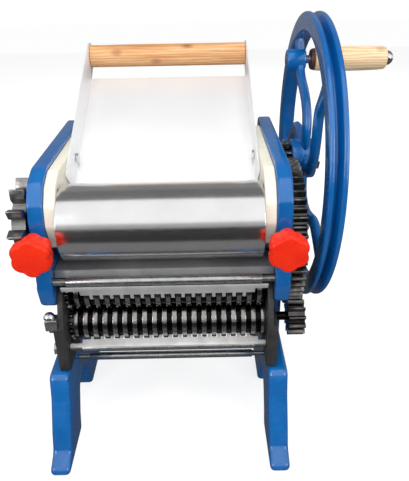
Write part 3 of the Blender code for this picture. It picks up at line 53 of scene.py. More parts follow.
# %% [markdown]
# The machine has its own datum: the middle between the side frames, on the
# floor under the front roller's axis.  Sizes read more easily from there, so
# one vector moves any of the machine's own places to the world.

# %% The machine's datum and main axes
DATUM = Vector((-0.06563, -0.103577, 0.0))
FRONT_ROLLER = (0.0, 0.2547)
REAR_ROLLER = (0.063009, 0.207047)
WHEEL = (0.142154, 0.266686)
CRANK = (0.202968, 0.374175)
LOWER_CUTTER = (-0.008037, 0.137958)
UPPER_CUTTER = (-0.005938, 0.178003)


def at(x, y, z):
    """The world place of one of the machine's own places."""
    return DATUM + Vector((x, y, z))


print("front roller axis at", [round(v, 4) for v in at(0.0, *FRONT_ROLLER)])

# %% [markdown]
# ## Camera
# The photograph looks down on the machine from the front, a little to its
# right.  A camera could be turned by eye until the view looks alike.  Here its
# place and lens were worked out once from edges and gears whose real places
# are known, so each piece lands where the photograph has it.

# %% The camera
CAMERA_PLACE = at(0.0401, -0.4823, 0.4932)
CAMERA_YAW, CAMERA_PITCH, CAMERA_ROLL = math.radians(0.18), math.radians(28.58), math.radians(-1.07)
IMAGE_WIDTH, IMAGE_HEIGHT, FOCAL_PIXELS, SENSOR = 409, 481, 528.8, 36.0


def photo_camera():
    lens = bpy.data.cameras.new("photo_camera")
    lens.sensor_width = SENSOR
    lens.lens = FOCAL_PIXELS / max(IMAGE_WIDTH, IMAGE_HEIGHT) * SENSOR
    lens.clip_start, lens.clip_end = 0.01, 20.0
    eye = bpy.data.objects.new("photo_camera", lens)
    bpy.context.scene.collection.objects.link(eye)
    ahead = Vector((math.sin(CAMERA_YAW) * math.cos(CAMERA_PITCH),
                    math.cos(CAMERA_YAW) * math.cos(CAMERA_PITCH), -math.sin(CAMERA_PITCH)))
    eye.location = CAMERA_PLACE
    eye.rotation_mode = "QUATERNION"
    upright = ahead.to_track_quat("-Z", "Y")
    eye.rotation_quaternion = upright
    eye.rotation_mode = "XYZ"
    eye.rotation_euler.rotate_axis("Z", CAMERA_ROLL)
    bpy.context.scene.camera = eye
    return eye


camera = photo_camera()
print("camera at", [round(v, 3) for v in camera.location], "lens", round(camera.data.lens, 2), "mm")

# %% [markdown]
# ## Floor, light and flags
# A studio photograph on white.  Lamps strong enough to make the floor white
# would wash the object out.  So the floor and the world are plain white only
# where the camera, a mirror or a glass looks at them, and dimmer as lamps.
# Light Path tells the two kinds of ray apart.

# %% Two shader helpers and the rays that make a picture


def feed(tree, socket, value):
    """Link a socket to another one, or set it to a number or a colour."""
    if isinstance(value, bpy.types.NodeSocket):
        tree.links.new(value, socket)
    elif isinstance(value, tuple):
        socket.default_value = (*value, 1.0)
    else:
        socket.default_value = value


def reckoned(tree, operation, *values):
    """A Math node fed with numbers or sockets."""
    made = tree.nodes.new("ShaderNodeMath")
    made.operation = operation
    for socket, value in zip(made.inputs, values):
        feed(tree, socket, value)
    return made.outputs[0]


def looked_at(tree):
    """One for rays from the camera, a mirror or a glass, nought for the rays that only light."""
    rays = tree.nodes.new("ShaderNodeLightPath").outputs
    camera_or_mirror = reckoned(tree, "MAXIMUM", rays["Is Camera Ray"], rays["Is Glossy Ray"])
    return reckoned(tree, "MAXIMUM", camera_or_mirror, rays["Is Transmission Ray"])


print("shader helpers ready")

# %% Floor
FLOOR_SIZE = 8.0
FLOOR_TONE, FLOOR_GLOW = 0.40, 0.76
WHITE = (1.0, 1.0, 1.0, 1.0)


def white_floor():
    bpy.ops.mesh.primitive_plane_add(size=FLOOR_SIZE)
    floor = bpy.context.object
    floor.name = "floor"
    paper = bpy.data.materials.new("white_paper")
    paper.use_nodes = True
    shader = paper.node_tree.nodes["Principled BSDF"]
    shader.inputs["Base Color"].default_value = (FLOOR_TONE, FLOOR_TONE, FLOOR_TONE, 1.0)
    shader.inputs["Roughness"].default_value = 0.9
    shader.inputs["Emission Color"].default_value = WHITE
    glow = reckoned(paper.node_tree, "MULTIPLY", looked_at(paper.node_tree), FLOOR_GLOW)
    paper.node_tree.links.new(glow, shader.inputs["Emission Strength"])
    floor.data.materials.append(paper)


bpy.ops.object.select_all(action="DESELECT")
white_floor()
print("floor", FLOOR_SIZE, "m wide")

# %% World
WORLD_LIGHT = 0.42


def white_world():
    world = bpy.data.worlds.new("studio_white")
    bpy.context.scene.world = world
    world.use_nodes = True
    tree = world.node_tree
    tree.nodes.clear()
    out = tree.nodes.new("ShaderNodeOutputWorld")
    seen, lamp = tree.nodes.new("ShaderNodeBackground"), tree.nodes.new("ShaderNodeBackground")
    seen.inputs["Color"].default_value = WHITE
    lamp.inputs["Color"].default_value = (0.97, 0.985, 1.0, 1.0)
    lamp.inputs["Strength"].default_value = WORLD_LIGHT
    mix = tree.nodes.new("ShaderNodeMixShader")
    tree.links.new(looked_at(tree), mix.inputs[0])
    tree.links.new(lamp.outputs[0], mix.inputs[1])
    tree.links.new(seen.outputs[0], mix.inputs[2])
    tree.links.new(mix.outputs[0], out.inputs["Surface"])


white_world()
print("white world, light", WORLD_LIGHT)

# %% [markdown]
# Five soft boxes light the machine.  A lamp that steel mirrors shows there as
# a hard white card, so none of them is seen in reflections.

# %% Lamps
MIDDLE = (0.0, 0.0, 0.22)


def soft_box(name, place, width, height, power):
    light = bpy.data.lights.new(name, "AREA")
    light.shape = "RECTANGLE"
    light.size, light.size_y, light.energy = width, height, power
    lamp = bpy.data.objects.new(name, light)
    bpy.context.scene.collection.objects.link(lamp)
    lamp.location = place
    lamp.rotation_euler = (Vector(MIDDLE) - Vector(place)).to_track_quat("-Z", "Y").to_euler()
    lamp.visible_glossy = False


soft_box("overhead_box", (0.0, -0.5, 1.6), 1.3, 0.9, 16.0)
soft_box("front_fill_box", (0.0, -1.9, 0.9), 1.8, 1.2, 8.0)
soft_box("front_left_box", (-1.2, -1.2, 0.75), 0.3, 0.9, 5.5)
soft_box("front_right_box", (1.2, -1.2, 0.75), 0.3, 0.9, 5.5)
soft_box("rear_box", (0.4, 1.6, 1.1), 0.9, 0.6, 8.0)
bpy.context.scene.view_settings.view_transform = "Standard"
print("five soft boxes")

# %% [markdown]
# Metal and enamel show what stands round them.  Painting bands of light and
# dark into a material would stick them to the metal.  A photographer hangs
# cards instead, and so does this scene: grey and black flags leave a wide
# window of white overhead, which makes the bright band over dark steel, and
# two very bright cards put the small glints on the blue enamel.  Only
# reflections see any of them.

# %% Flags and glint cards
FLAG_WIDTH = 3.2
FLAG_FRONT, FLAG_BACK, FLAG_FLOOR, FLAG_CEILING = -2.1, 2.6, 0.002, 1.75
GLINT, GLINT_LINE = 7.0, ((-1.2, 0.30), (-1.2, 1.30))


def flag(name, line, tone, sides=(-FLAG_WIDTH, FLAG_WIDTH)):
    """A card drawn along a (y, z) line between two X values, that only reflections see."""
    bpy.ops.object.select_all(action="DESELECT")
    bpy.ops.mesh.primitive_plane_add(size=1.0)
    card = bpy.context.object
    card.name = name
    (y0, z0), (y1, z1) = line
    left, right = sides
    corners = ((left, y0, z0), (right, y0, z0), (left, y1, z1), (right, y1, z1))
    for vertex, corner in zip(card.data.vertices, corners):
        vertex.co = corner
    cloth = bpy.data.materials.new(name)
    cloth.use_nodes = True
    shader = cloth.node_tree.nodes["Principled BSDF"]
    shader.inputs["Base Color"].default_value = (0.0, 0.0, 0.0, 1.0)
    shader.inputs["Roughness"].default_value = 1.0
    shader.inputs["Emission Color"].default_value = (tone, tone, tone, 1.0)
    shader.inputs["Emission Strength"].default_value = 1.0
    card.data.materials.append(cloth)
    card.visible_camera = card.visible_diffuse = card.visible_shadow = card.visible_transmission = False


flag("front_flag", ((FLAG_FRONT, 0.0), (FLAG_FRONT, 0.38)), 0.01)
flag("front_edge_flag", ((FLAG_FRONT, 0.38), (FLAG_FRONT, 0.90)), 0.36)
flag("front_floor_flag", ((FLAG_FRONT, FLAG_FLOOR), (-0.45, FLAG_FLOOR)), 0.01)
flag("near_floor_flag", ((-0.45, FLAG_FLOOR), (-0.20, FLAG_FLOOR)), 0.16)
flag("under_flag", ((-0.20, FLAG_FLOOR), (FLAG_BACK, FLAG_FLOOR)), 0.06)
flag("rear_ceiling_flag", ((-0.10, FLAG_CEILING), (1.05, FLAG_CEILING)), 0.15)
flag("back_flag", ((1.05, FLAG_CEILING), (FLAG_BACK, 0.0)), 0.22)
flag("left_glint_card", GLINT_LINE, GLINT, (-1.45, -1.05))
flag("right_glint_card", GLINT_LINE, GLINT, (1.05, 1.45))
print("seven flags and two bright cards for the glints")

# %% [markdown]
# ## Surface effects
# Several finishes share the same small effects: a casting's unevenness, rubbed
# edges and brush marks.  Each is a node group that is built once
# and placed in every material that needs it, with its own values.

# %% A small language for shader nodes


def new_group(name, numbers, outputs):
    """A shader node group that takes a Vector and named numbers, and puts out numbers."""
    group = bpy.data.node_groups.new(name, "ShaderNodeTree")
    group.interface.new_socket("Vector", in_out="INPUT", socket_type="NodeSocketVector")
    for label, value in numbers.items():
        socket = group.interface.new_socket(label, in_out="INPUT", socket_type="NodeSocketFloat")
        socket.default_value = value
    for label in outputs:
        group.interface.new_socket(label, in_out="OUTPUT", socket_type="NodeSocketFloat")
    return group, group.nodes.new("NodeGroupInput"), group.nodes.new("NodeGroupOutput")


def noise(tree, vector, scale, detail=3.0, roughness=0.55):
    made = tree.nodes.new("ShaderNodeTexNoise")
    made.inputs["Detail"].default_value = detail
    made.inputs["Roughness"].default_value = roughness
    feed(tree, made.inputs["Scale"], scale)
    tree.links.new(vector, made.inputs["Vector"])
    return made.outputs["Fac"]


def stretched(tree, vector, scale):
    made = tree.nodes.new("ShaderNodeMapping")
    made.inputs["Scale"].default_value = scale
    tree.links.new(vector, made.inputs["Vector"])
    return made.outputs["Vector"]


def ranged(tree, factor, low, high, start=0.3, stop=0.7):
    """Spread the part of a factor between start and stop over low to high."""
    made = tree.nodes.new("ShaderNodeMapRange")
    for label, value in (("From Min", start), ("From Max", stop), ("To Min", low), ("To Max", high)):
        made.inputs[label].default_value = value
    tree.links.new(factor, made.inputs["Value"])
    return made.outputs[0]


def blended(tree, kind, factor, first, second):
    """Mix two colours; the Mix node's colour sockets are numbers 6, 7 and 2."""
    made = tree.nodes.new("ShaderNodeMix")
    made.data_type = "RGBA"
    made.blend_type = kind
    for index, value in ((0, factor), (6, first), (7, second)):
        feed(tree, made.inputs[index], value)
    return made.outputs[2]


def object_place(tree):
    return tree.nodes.new("ShaderNodeTexCoord").outputs["Object"]


print("node helpers ready")

# %% [markdown]
# A sand casting is never flat: it has slow waves from the mould and a fine
# skin from the paint.  Moving the mesh itself would take a great many faces
# for dents that show only in highlights, so one group adds both as a height
# for a Bump node.

# %% Cast skin group


def cast_skin_group():
    group, start, end = new_group(
        "cast_skin", {"Wave Scale": 55.0, "Grain Scale": 420.0, "Grain Share": 0.3}, ["Height"])
    place = start.outputs["Vector"]
    wave = noise(group, place, start.outputs["Wave Scale"], 2.0)
    grain = noise(group, place, start.outputs["Grain Scale"], 2.0)
    height = reckoned(group, "MULTIPLY_ADD", grain, start.outputs["Grain Share"], wave)
    group.links.new(height, end.inputs["Height"])
    return group


cast_skin = cast_skin_group()
print("group", cast_skin.name)

# %% [markdown]
# Rubbing polishes the corners of iron that is otherwise dark.  A mask could be
# painted by hand, piece by piece.  Pointiness does it for all of them: it is a
# half on a flat place and more where the mesh bends outwards.  Noise breaks
# the mask up, because wear is never even.

# %% Rubbed edge group


def rubbed_edge_group():
    group, start, end = new_group("rubbed_edge", {"Breakup Scale": 120.0}, ["Mask"])
    geometry = group.nodes.new("ShaderNodeNewGeometry")
    edges = ranged(group, geometry.outputs["Pointiness"], 0.0, 1.0, 0.52, 0.62)
    patches = noise(group, start.outputs["Vector"], start.outputs["Breakup Scale"], 4.0)
    spots = ranged(group, patches, 0.0, 1.0, 0.35, 0.6)
    group.links.new(reckoned(group, "MULTIPLY", edges, spots), end.inputs["Mask"])
    return group


rubbed_edge = rubbed_edge_group()
print("group", rubbed_edge.name)

# %% [markdown]
# Ground and rolled steel keeps fine marks of the tool.  A picture of scratches
# would repeat itself and need unwrapped pieces.  Noise needs neither: drawn
# out along X it makes the marks, and large and soft it clouds the colour.

# %% Brush mark group
ALONG_X = (0.16, 1.0, 1.0)


def brush_mark_group():
    """Fine scratches along X and a slow cloudiness, both round one half."""
    group, start, end = new_group("brush_marks", {"Fine Scale": 900.0, "Cloud Scale": 25.0},
                                  ["Marks", "Clouds"])
    place = start.outputs["Vector"]
    marks = noise(group, stretched(group, place, ALONG_X), start.outputs["Fine Scale"], 2.0, 0.7)
    group.links.new(marks, end.inputs["Marks"])
    clouds = noise(group, place, start.outputs["Cloud Scale"], 3.0)
    group.links.new(clouds, end.inputs["Clouds"])
    return group


brush_marks = brush_mark_group()
print("group", brush_marks.name)

# %% [markdown]
# ## Finishes
# Each finish is one material.  Its shader stays outside the groups, and a
# number that is the same all over the surface sits on the shader's own socket.

# %% Material helpers


def finish_named(name, roughness, metallic, **constants):
    """A new material with its Principled shader; constants are socket names with underscores."""
    made = bpy.data.materials.new(name)
    made.use_nodes = True
    shader = made.node_tree.nodes["Principled BSDF"]
    shader.inputs["Roughness"].default_value = roughness
    shader.inputs["Metallic"].default_value = metallic
    for label, value in constants.items():
        shader.inputs[label.replace("_", " ")].default_value = value
    return made, made.node_tree, shader


def placed(tree, group, vector, **values):
    made = tree.nodes.new("ShaderNodeGroup")
    made.node_tree = group
    tree.links.new(vector, made.inputs["Vector"])
    for label, value in values.items():
        made.inputs[label.replace("_", " ")].default_value = value
    return made


def bump(tree, shader, height, distance, strength=1.0):
    made = tree.nodes.new("ShaderNodeBump")
    made.inputs["Strength"].default_value = strength
    made.inputs["Distance"].default_value = distance
    tree.links.new(height, made.inputs["Height"])
    tree.links.new(made.outputs["Normal"], shader.inputs["Normal"])


print("material helpers ready")

# %% [markdown]
# The frames and the flywheel are sand castings under thick blue enamel.  A
# blue shader alone would look like plastic.  The paint is a clear coat over an
# uneven skin, so its highlights wobble as they do on the real castings.

# %% Blue enamel


def skinned_finish(name, dark, light, clouds, gloss, skin, depth, strength, **constants):
    """Paint or plastic from cloud (scale, detail), gloss (low, high, scale) and the skin's values."""
    low, high, gloss_scale = gloss
    made, tree, shader = finish_named(name, low, 0.0, **constants)
    place = object_place(tree)
    tone = ranged(tree, noise(tree, place, *clouds), 0.0, 1.0)
    tree.links.new(blended(tree, "MIX", tone, dark, light), shader.inputs["Base Color"])
    tree.links.new(ranged(tree, noise(tree, place, gloss_scale), low, high), shader.inputs["Roughness"])
    wave, grain, share = skin
    surface = placed(tree, cast_skin, place, Wave_Scale=wave, Grain_Scale=grain, Grain_Share=share)
    bump(tree, shader, surface.outputs["Height"], depth, strength)
    return made


blue_enamel = skinned_finish("blue_enamel_paint", (0.001, 0.100, 0.345), (0.003, 0.140, 0.440),
                             (18.0, 4.0), (0.15, 0.28, 90.0), (70.0, 380.0, 0.12), 0.0009, 0.8,
                             Coat_Weight=0.9, Coat_Roughness=0.04)
print("finish", blue_enamel.name)

# %% [markdown]
# The cheeks are cream nylon and the knobs red moulded plastic.  Both could be
# one flat colour, but then they would look like paper.  They take the enamel's
# recipe without its coat.  The nylon is duller and finely grained; the red
# plastic is smoother, and its reflections are turned down to keep it deep red.

# %% Cream nylon and red plastic
cream_nylon = skinned_finish("cream_nylon_plastic", (0.790, 0.745, 0.610), (0.860, 0.825, 0.700),
                             (45.0, 4.0), (0.36, 0.5, 220.0), (120.0, 900.0, 0.3), 0.0002, 0.5)
red_plastic = skinned_finish("red_moulded_plastic", (0.820, 0.018, 0.003), (0.920, 0.030, 0.005),
                             (60.0, 3.0), (0.24, 0.36, 160.0), (140.0, 700.0, 0.15), 0.0006, 0.7,
                             Specular_IOR_Level=0.28)
print("finishes", cream_nylon.name, red_plastic.name)

# %% [markdown]
# A metal's colour is what it reflects, so a grey paint never looks like one.
# Every bare metal here is the same recipe with other numbers: a base colour
# that clouds a little, fine marks in its roughness, and a small bump.  Iron
# that is handled gets rubbed edges, and grooves can be darkened with painted
# shade.

# %% Metals
# Near-black painted shade for the floors of the cutter rolls' grooves.
PAINTED_GROOVE_SHADE = (0.012, 0.011, 0.010)


def from_axis(tree, place, centre):
    """Distance from a line along X through the machine's (y, z)."""
    moved = tree.nodes.new("ShaderNodeVectorMath")
    moved.operation = "SUBTRACT"
    moved.inputs[1].default_value = at(0.0, *centre)
    tree.links.new(place, moved.inputs[0])
    reach = tree.nodes.new("ShaderNodeVectorMath")
    reach.operation = "LENGTH"
    tree.links.new(stretched(tree, moved.outputs["Vector"], (0.0, 1.0, 1.0)), reach.inputs[0])
    return reach.outputs["Value"]


def metal_finish(name, dark, light, rough_low, rough_high, metallic=1.0, fine=900.0, cloud=25.0,
                 depth=0.00008, worn=None, groove_shade=None):
    """worn colours rubbed edges; the last argument is an axis and the radii where painted shade in the
    grooves thins out and ends.
    """
    made, tree, shader = finish_named(name, rough_low, metallic)
    place = object_place(tree)
    marks = placed(tree, brush_marks, place, Fine_Scale=fine, Cloud_Scale=cloud)
    tone = ranged(tree, marks.outputs["Clouds"], 0.0, 1.0)
    colour = blended(tree, "MIX", tone, dark, light)
    if worn:
        edge = placed(tree, rubbed_edge, place)
        colour = blended(tree, "MIX", edge.outputs["Mask"], colour, worn)
    # Painted shade: the colour turns black towards the axis, down in the grooves.
    if groove_shade:
        axis, shade_full_at, shade_gone_at = groove_shade
        unshaded = ranged(tree, from_axis(tree, place, axis), 0.0, 1.0, shade_full_at, shade_gone_at)
        colour = blended(tree, "MIX", unshaded, PAINTED_GROOVE_SHADE, colour)
    tree.links.new(colour, shader.inputs["Base Color"])
    roughness = ranged(tree, marks.outputs["Marks"], rough_low, rough_high)
    tree.links.new(roughness, shader.inputs["Roughness"])
    bump(tree, shader, marks.outputs["Marks"], depth)
    return made


ground_steel = metal_finish("ground_steel_roller", (0.83, 0.83, 0.84), (0.90, 0.90, 0.91), 0.16, 0.24,
                            depth=0.000003)
dark_steel = metal_finish("turned_dark_steel", (0.26, 0.26, 0.265), (0.34, 0.34, 0.345), 0.22, 0.36)
dark_gear = metal_finish("oiled_gear_iron", (0.080, 0.076, 0.073), (0.140, 0.132, 0.127), 0.20, 0.36,
                         fine=400.0, cloud=60.0, depth=0.0002, worn=(0.46, 0.45, 0.44))
sync_gear = metal_finish("worn_gear_iron", (0.25, 0.245, 0.24), (0.36, 0.35, 0.345), 0.26, 0.42,
                         fine=400.0, cloud=60.0, depth=0.0002, worn=(0.62, 0.61, 0.60))
cutter_steel = metal_finish("cutter_gear_steel", (0.20, 0.197, 0.194), (0.30, 0.295, 0.29), 0.14, 0.24,
                            fine=600.0, cloud=80.0, depth=0.00004)
comb_steel = metal_finish("comb_sheet", (0.50, 0.50, 0.49), (0.64, 0.64, 0.63), 0.34, 0.50, 0.3,
                          cloud=60.0)
dark_casting = metal_finish("dark_sand_casting", (0.050, 0.047, 0.048), (0.085, 0.080, 0.080), 0.42,
                            0.62, 0.6, fine=260.0, cloud=70.0, depth=0.0005)
zinc = metal_finish("zinc_plate", (0.50, 0.51, 0.51), (0.64, 0.65, 0.65), 0.22, 0.40, cloud=120.0)
chrome = metal_finish("chrome_plate", (0.70, 0.70, 0.71), (0.78, 0.78, 0.79), 0.07, 0.14, cloud=90.0)
# The tray's near-white colour is partly the sheet's own and partly a painted sheen, standing in for the
# bright reflections that wash it out.
sheet_steel = metal_finish("bright_sheet", (0.91, 0.91, 0.92), (0.95, 0.95, 0.95), 0.40, 0.52, 0.45,
                           cloud=12.0, depth=0.00003)
scraper_steel = metal_finish("scraper_sheet", (0.19, 0.19, 0.195), (0.27, 0.27, 0.275), 0.32, 0.48, 0.35)
bronze = metal_finish("bush_bronze", (0.40, 0.25, 0.09), (0.52, 0.34, 0.14), 0.3, 0.46)
print("twelve metals")

# %% [markdown]
# The carry bar and the crank grip are turned from pale pine.  A picture of
# boards would wrap round them like paper, and a turned piece shows its rings
# cut through.  The rings are long, thin shells, so the pattern fills space: a
# distorted band, stretched along X, with darker streaks and knots over it.

# %% Wood
RING_SHADE = (0.80, 0.66, 0.48)
FIBRE_TINT, STREAK_BROWN = (0.62, 0.38, 0.20), (0.47, 0.17, 0.045)
KNOT_BROWN, STAIN_BROWN = (0.24, 0.085, 0.022), (0.085, 0.030, 0.012)


def pine_finish(name, tint, grain=1.0, dark_end=None):
    """Turned pine; grain is its strength, and dark_end the X values where a stain at one end fades."""
    made, tree, shader = finish_named(name, 0.42, 0.0, Coat_Weight=0.25, Coat_Roughness=0.25)
    place = object_place(tree)
    along = stretched(tree, place, (3.5, 26.0, 26.0))
    slow = noise(tree, along, 1.6, 5.0, 0.6)
    bands = tree.nodes.new("ShaderNodeTexWave")
    bands.wave_type = "BANDS"
    bands.bands_direction = "Z"
    bands.inputs["Scale"].default_value = 3.6
    bands.inputs["Distortion"].default_value = 6.0
    bands.inputs["Detail"].default_value = 3.0
    bands.inputs["Detail Scale"].default_value = 1.4
    tree.links.new(along, bands.inputs["Vector"])
    fibre = noise(tree, stretched(tree, place, (10.0, 520.0, 520.0)), 1.0, 4.0, 0.75)
    ring = tuple(light * shade for light, shade in zip(tint, RING_SHADE))
    warm = blended(tree, "MIX", ranged(tree, bands.outputs["Fac"], 0.0, 0.8, 0.2, 0.9), tint, ring)
    fibres = ranged(tree, fibre, 0.0, 0.85 * grain, 0.45, 0.72)
    grained = blended(tree, "MULTIPLY", fibres, warm, FIBRE_TINT)
    streaks = ranged(tree, slow, 0.0, 0.7 * grain, 0.52, 0.75)
    patchy = blended(tree, "MIX", streaks, grained, STREAK_BROWN)
    spots = tree.nodes.new("ShaderNodeTexVoronoi")
    spots.inputs["Scale"].default_value = 22.0
    tree.links.new(stretched(tree, place, (1.0, 1.6, 1.6)), spots.inputs["Vector"])
    knots = ranged(tree, spots.outputs["Distance"], 0.75, 0.0, 0.06, 0.22)
    colour = blended(tree, "MIX", knots, patchy, KNOT_BROWN)
    if dark_end:
        start, stop = dark_end
        split = tree.nodes.new("ShaderNodeSeparateXYZ")
        tree.links.new(place, split.inputs[0])
        stained = ranged(tree, split.outputs["X"], 1.0, 0.0, start, stop)
        colour = blended(tree, "MIX", stained, colour, STAIN_BROWN)
    tree.links.new(colour, shader.inputs["Base Color"])
    tree.links.new(ranged(tree, fibre, 0.34, 0.52), shader.inputs["Roughness"])
    bump(tree, shader, fibre, 0.0002, 0.6)
    return made


GRIP_START = 0.1778
stain_from = at(GRIP_START, *CRANK).x
bar_pine = pine_finish("bar_pine", (0.84, 0.50, 0.25))
grip_pine = pine_finish("grip_pine", (1.0, 0.79, 0.53), 0.45, (stain_from + 0.0045, stain_from + 0.0062))
print("wood finishes", bar_pine.name, grip_pine.name)

# %% [markdown]
# ## Working by hand, in code
# The pieces could be written down point by point, but that teaches nothing
# about Blender.  The next helpers do what a hand does: they hold one piece at
# a time, open and close its edit mode, select by place, and apply a modifier.
# A finished piece sits at the world's origin with its place in its mesh, as
# the loaded solids do.

# %% Holding and opening a piece


def put_down():
    if bpy.context.object and bpy.context.object.mode != "OBJECT":
        bpy.ops.object.mode_set(mode="OBJECT")
    bpy.ops.object.select_all(action="DESELECT")


def hold(piece):
    put_down()
    piece.select_set(True)
    bpy.context.view_layer.objects.active = piece
    return piece


def open_mesh(piece, everything=False):
    hold(piece)
    bpy.ops.object.mode_set(mode="EDIT")
    bpy.ops.mesh.select_all(action="SELECT" if everything else "DESELECT")


def close_mesh():
    bpy.ops.object.mode_set(mode="OBJECT")


def pick(piece, kind, rule):
    """Select the vertices, edges or faces of an open mesh that a rule is true for."""
    bpy.ops.mesh.select_mode(type=kind)
    bm = bmesh.from_edit_mesh(piece.data)
    for item in {"VERT": bm.verts, "EDGE": bm.edges, "FACE": bm.faces}[kind]:
        item.select_set(bool(rule(item)))
    bm.select_flush_mode()
    bmesh.update_edit_mesh(piece.data)


def face_outwards():
    """Select all of an open mesh and turn its faces outwards."""
    bpy.ops.mesh.select_all(action="SELECT")
    bpy.ops.mesh.normals_make_consistent(inside=False)


def apply_modifier(piece, kind, **settings):
    hold(piece)
    modifier = piece.modifiers.new(kind, kind)
    for label, value in settings.items():
        setattr(modifier, label, value)
    bpy.ops.object.modifier_apply(modifier=modifier.name)
    return piece


def round_edges(piece, width, steps=3, angle=35.0, clamped=True):
    return apply_modifier(piece, "BEVEL", width=width, segments=steps, limit_method="ANGLE",
                          angle_limit=math.radians(angle), use_clamp_overlap=clamped)


def smooth(piece, angle=35.0):
    hold(piece)
    bpy.ops.object.shade_smooth_by_angle(angle=math.radians(angle))
    return piece


def settle(piece):
    hold(piece)
    bpy.ops.object.transform_apply(location=True, rotation=True, scale=True)
    return piece


print("hand tools ready")

# %% [markdown]
# Each piece stands for one of the solids, so it needs no list of its own: the
# record already says which moving body that solid rides on.

# %% Handing a piece over
shown = {}


def body_of(node):
    bodies = frame["record"]["behaviour"]["bodies"]
    return next(body for body, group in bodies.items() if node in group)


def hand_over(piece, material, node):
    """Dress a piece and let it stand for a solid, on that solid's body."""
    piece.data.materials.clear()
    piece.data.materials.append(material)
    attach(piece, body_of(node))
    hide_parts(node)
    shown[piece.name] = len(piece.data.polygons)


# %% [markdown]
# ## Drawing outlines
# Most pieces here began as a flat drawing: a casting's side view or a turned
# part's half section.  An outline is drawn by extruding one point from corner
# to corner, as with the E key, and a vertex bevel rounds its corners.

# %% Drawing a closed outline
NEAR = 0.00002
MOST_OF_AN_EDGE = 0.48
ROUNDER_THAN = 1.1


def corner_at(corners, index):
    """How far along its edges a corner's rounding starts, and the radius that fits there."""
    y, z, rounding = corners[index]
    here = Vector((y, z))
    before = Vector(corners[index - 1][:2]) - here
    after = Vector(corners[(index + 1) % len(corners)][:2]) - here
    tightness = math.tan(before.angle(after) / 2)
    reach = min(rounding / tightness, MOST_OF_AN_EDGE * before.length, MOST_OF_AN_EDGE * after.length)
    return reach, reach * tightness


def for_thick_edge(corners, width):
    """Leave corners sharp that are tighter than the edge rounding, which then rounds them too."""
    return [(y, z, rounding if corner_at(corners, index)[1] > ROUNDER_THAN * width else 0.0)
            for index, (y, z, rounding) in enumerate(corners)]


def start_point(name):
    """One loose point at the origin, made by merging a small plane."""
    put_down()
    bpy.ops.mesh.primitive_plane_add(size=0.01, location=(0.0, 0.0, 0.0))
    piece = bpy.context.object
    piece.name = name
    bpy.ops.object.mode_set(mode="EDIT")
    bpy.ops.mesh.select_mode(type="VERT")
    bpy.ops.mesh.select_all(action="SELECT")
    bpy.ops.mesh.merge(type="CENTER")
    return piece


def outline(name, corners, placed_at, steps=6):
    """Draw (first, second, rounding) corners, fill them, and round them; stays in edit mode."""
    piece = start_point(name)
    places = [placed_at(first, second) for first, second, _ in corners]
    bpy.ops.transform.translate(value=places[0])
    for before, after in zip(places, places[1:]):
        bpy.ops.mesh.extrude_vertices_move(TRANSFORM_OT_translate={"value": after - before})
    bpy.ops.mesh.select_all(action="SELECT")
    bpy.ops.mesh.edge_face_add()
    for index, (here, corner) in enumerate(zip(places, corners)):
        if corner[2] > 0:
            pick(piece, "VERT", lambda vertex: (vertex.co - here).length < NEAR)
            bpy.ops.mesh.bevel(offset=corner_at(corners, index)[0], offset_type="ABSOLUTE",
                               affect="VERTICES", segments=steps, profile=0.5)
    return piece


print("outlines can be drawn")

# %% [markdown]
# A plate or casting is its outline raised along X.  A turned part is half its
# section, spun round its axis: the face is dropped first, so that only the
# line spins, and the doubled points on the seam and the axis are merged.  A
# mirrored copy comes out inside out, so its volume is measured, and where that
# is negative every face is flipped.

# %% Slab and lathe
SEAM_GAP = 0.000005


def slab(name, corners, x_start, x_end, steps=6):
    """A (y, z, rounding) outline between two X values of the machine."""
    piece = outline(name, corners, lambda y, z: at(x_start, y, z), steps)
    bpy.ops.mesh.select_all(action="SELECT")
    bpy.ops.mesh.extrude_region_move(TRANSFORM_OT_translate={"value": (x_end - x_start, 0.0, 0.0)})
    face_outwards()
    close_mesh()
    return piece


def lathe(name, corners, centre, turns=64, steps=4):
    """A half section of (x, radius, rounding) corners spun round a line through (y, z)."""
    y, z = centre
    piece = outline(name, corners, lambda x, radius: at(x, y, z + radius), steps)
    bpy.ops.mesh.select_all(action="SELECT")
    bpy.ops.mesh.delete(type="ONLY_FACE")
    bpy.ops.mesh.select_all(action="SELECT")
    bpy.ops.mesh.spin(steps=turns, angle=2 * math.pi, center=at(0.0, y, z), axis=(1.0, 0.0, 0.0))
    bpy.ops.mesh.select_all(action="SELECT")
    bpy.ops.mesh.remove_doubles(threshold=SEAM_GAP)
    bpy.ops.mesh.delete_loose(use_verts=True, use_edges=True, use_faces=False)
    face_outwards()
    close_mesh()
    return piece


def rod(name, x_start, x_end, radius, centre, turns=32):
    corners = [(x_start, 0.0, 0.0), (x_start, radius, 0.0), (x_end, radius, 0.0), (x_end, 0.0, 0.0)]
    return lathe(name, corners, centre, turns)


def joined(piece, operation, *tools, solver="EXACT"):
    """Add or cut tools with a Boolean each, and put the tools away."""
    for tool in tools:
        apply_modifier(piece, "BOOLEAN", object=tool, operation=operation, solver=solver)
        bpy.data.objects.remove(tool)


def twin(piece, name, move=(0.0, 0.0, 0.0), flip=False):
    """A copy with its own mesh, moved, or mirrored to the machine's other side."""
    other = piece.copy()
    other.data = piece.data.copy()
    other.name = name
    bpy.context.scene.collection.objects.link(other)
    open_mesh(other, True)
    bpy.ops.transform.translate(value=move)
    if flip:
        bpy.ops.transform.mirror(constraint_axis=(True, False, False), center_override=DATUM)
        if bmesh.from_edit_mesh(other.data).calc_volume(signed=True) < 0:
            bpy.ops.mesh.flip_normals()
    close_mesh()
    return other


print("slab, lathe, rod, joined and twin are ready")

# %% [markdown]
# ## Side frames
# Each side frame is one iron casting with a sunk outside panel, raised round
# bosses and thick rounded edges.  It could be modelled as a whole and bevelled
# at the end, but a bevel often fails where two forms meet.  So the upper part,
# the legs and the boss of the adjusting screw are made and rounded one by one.

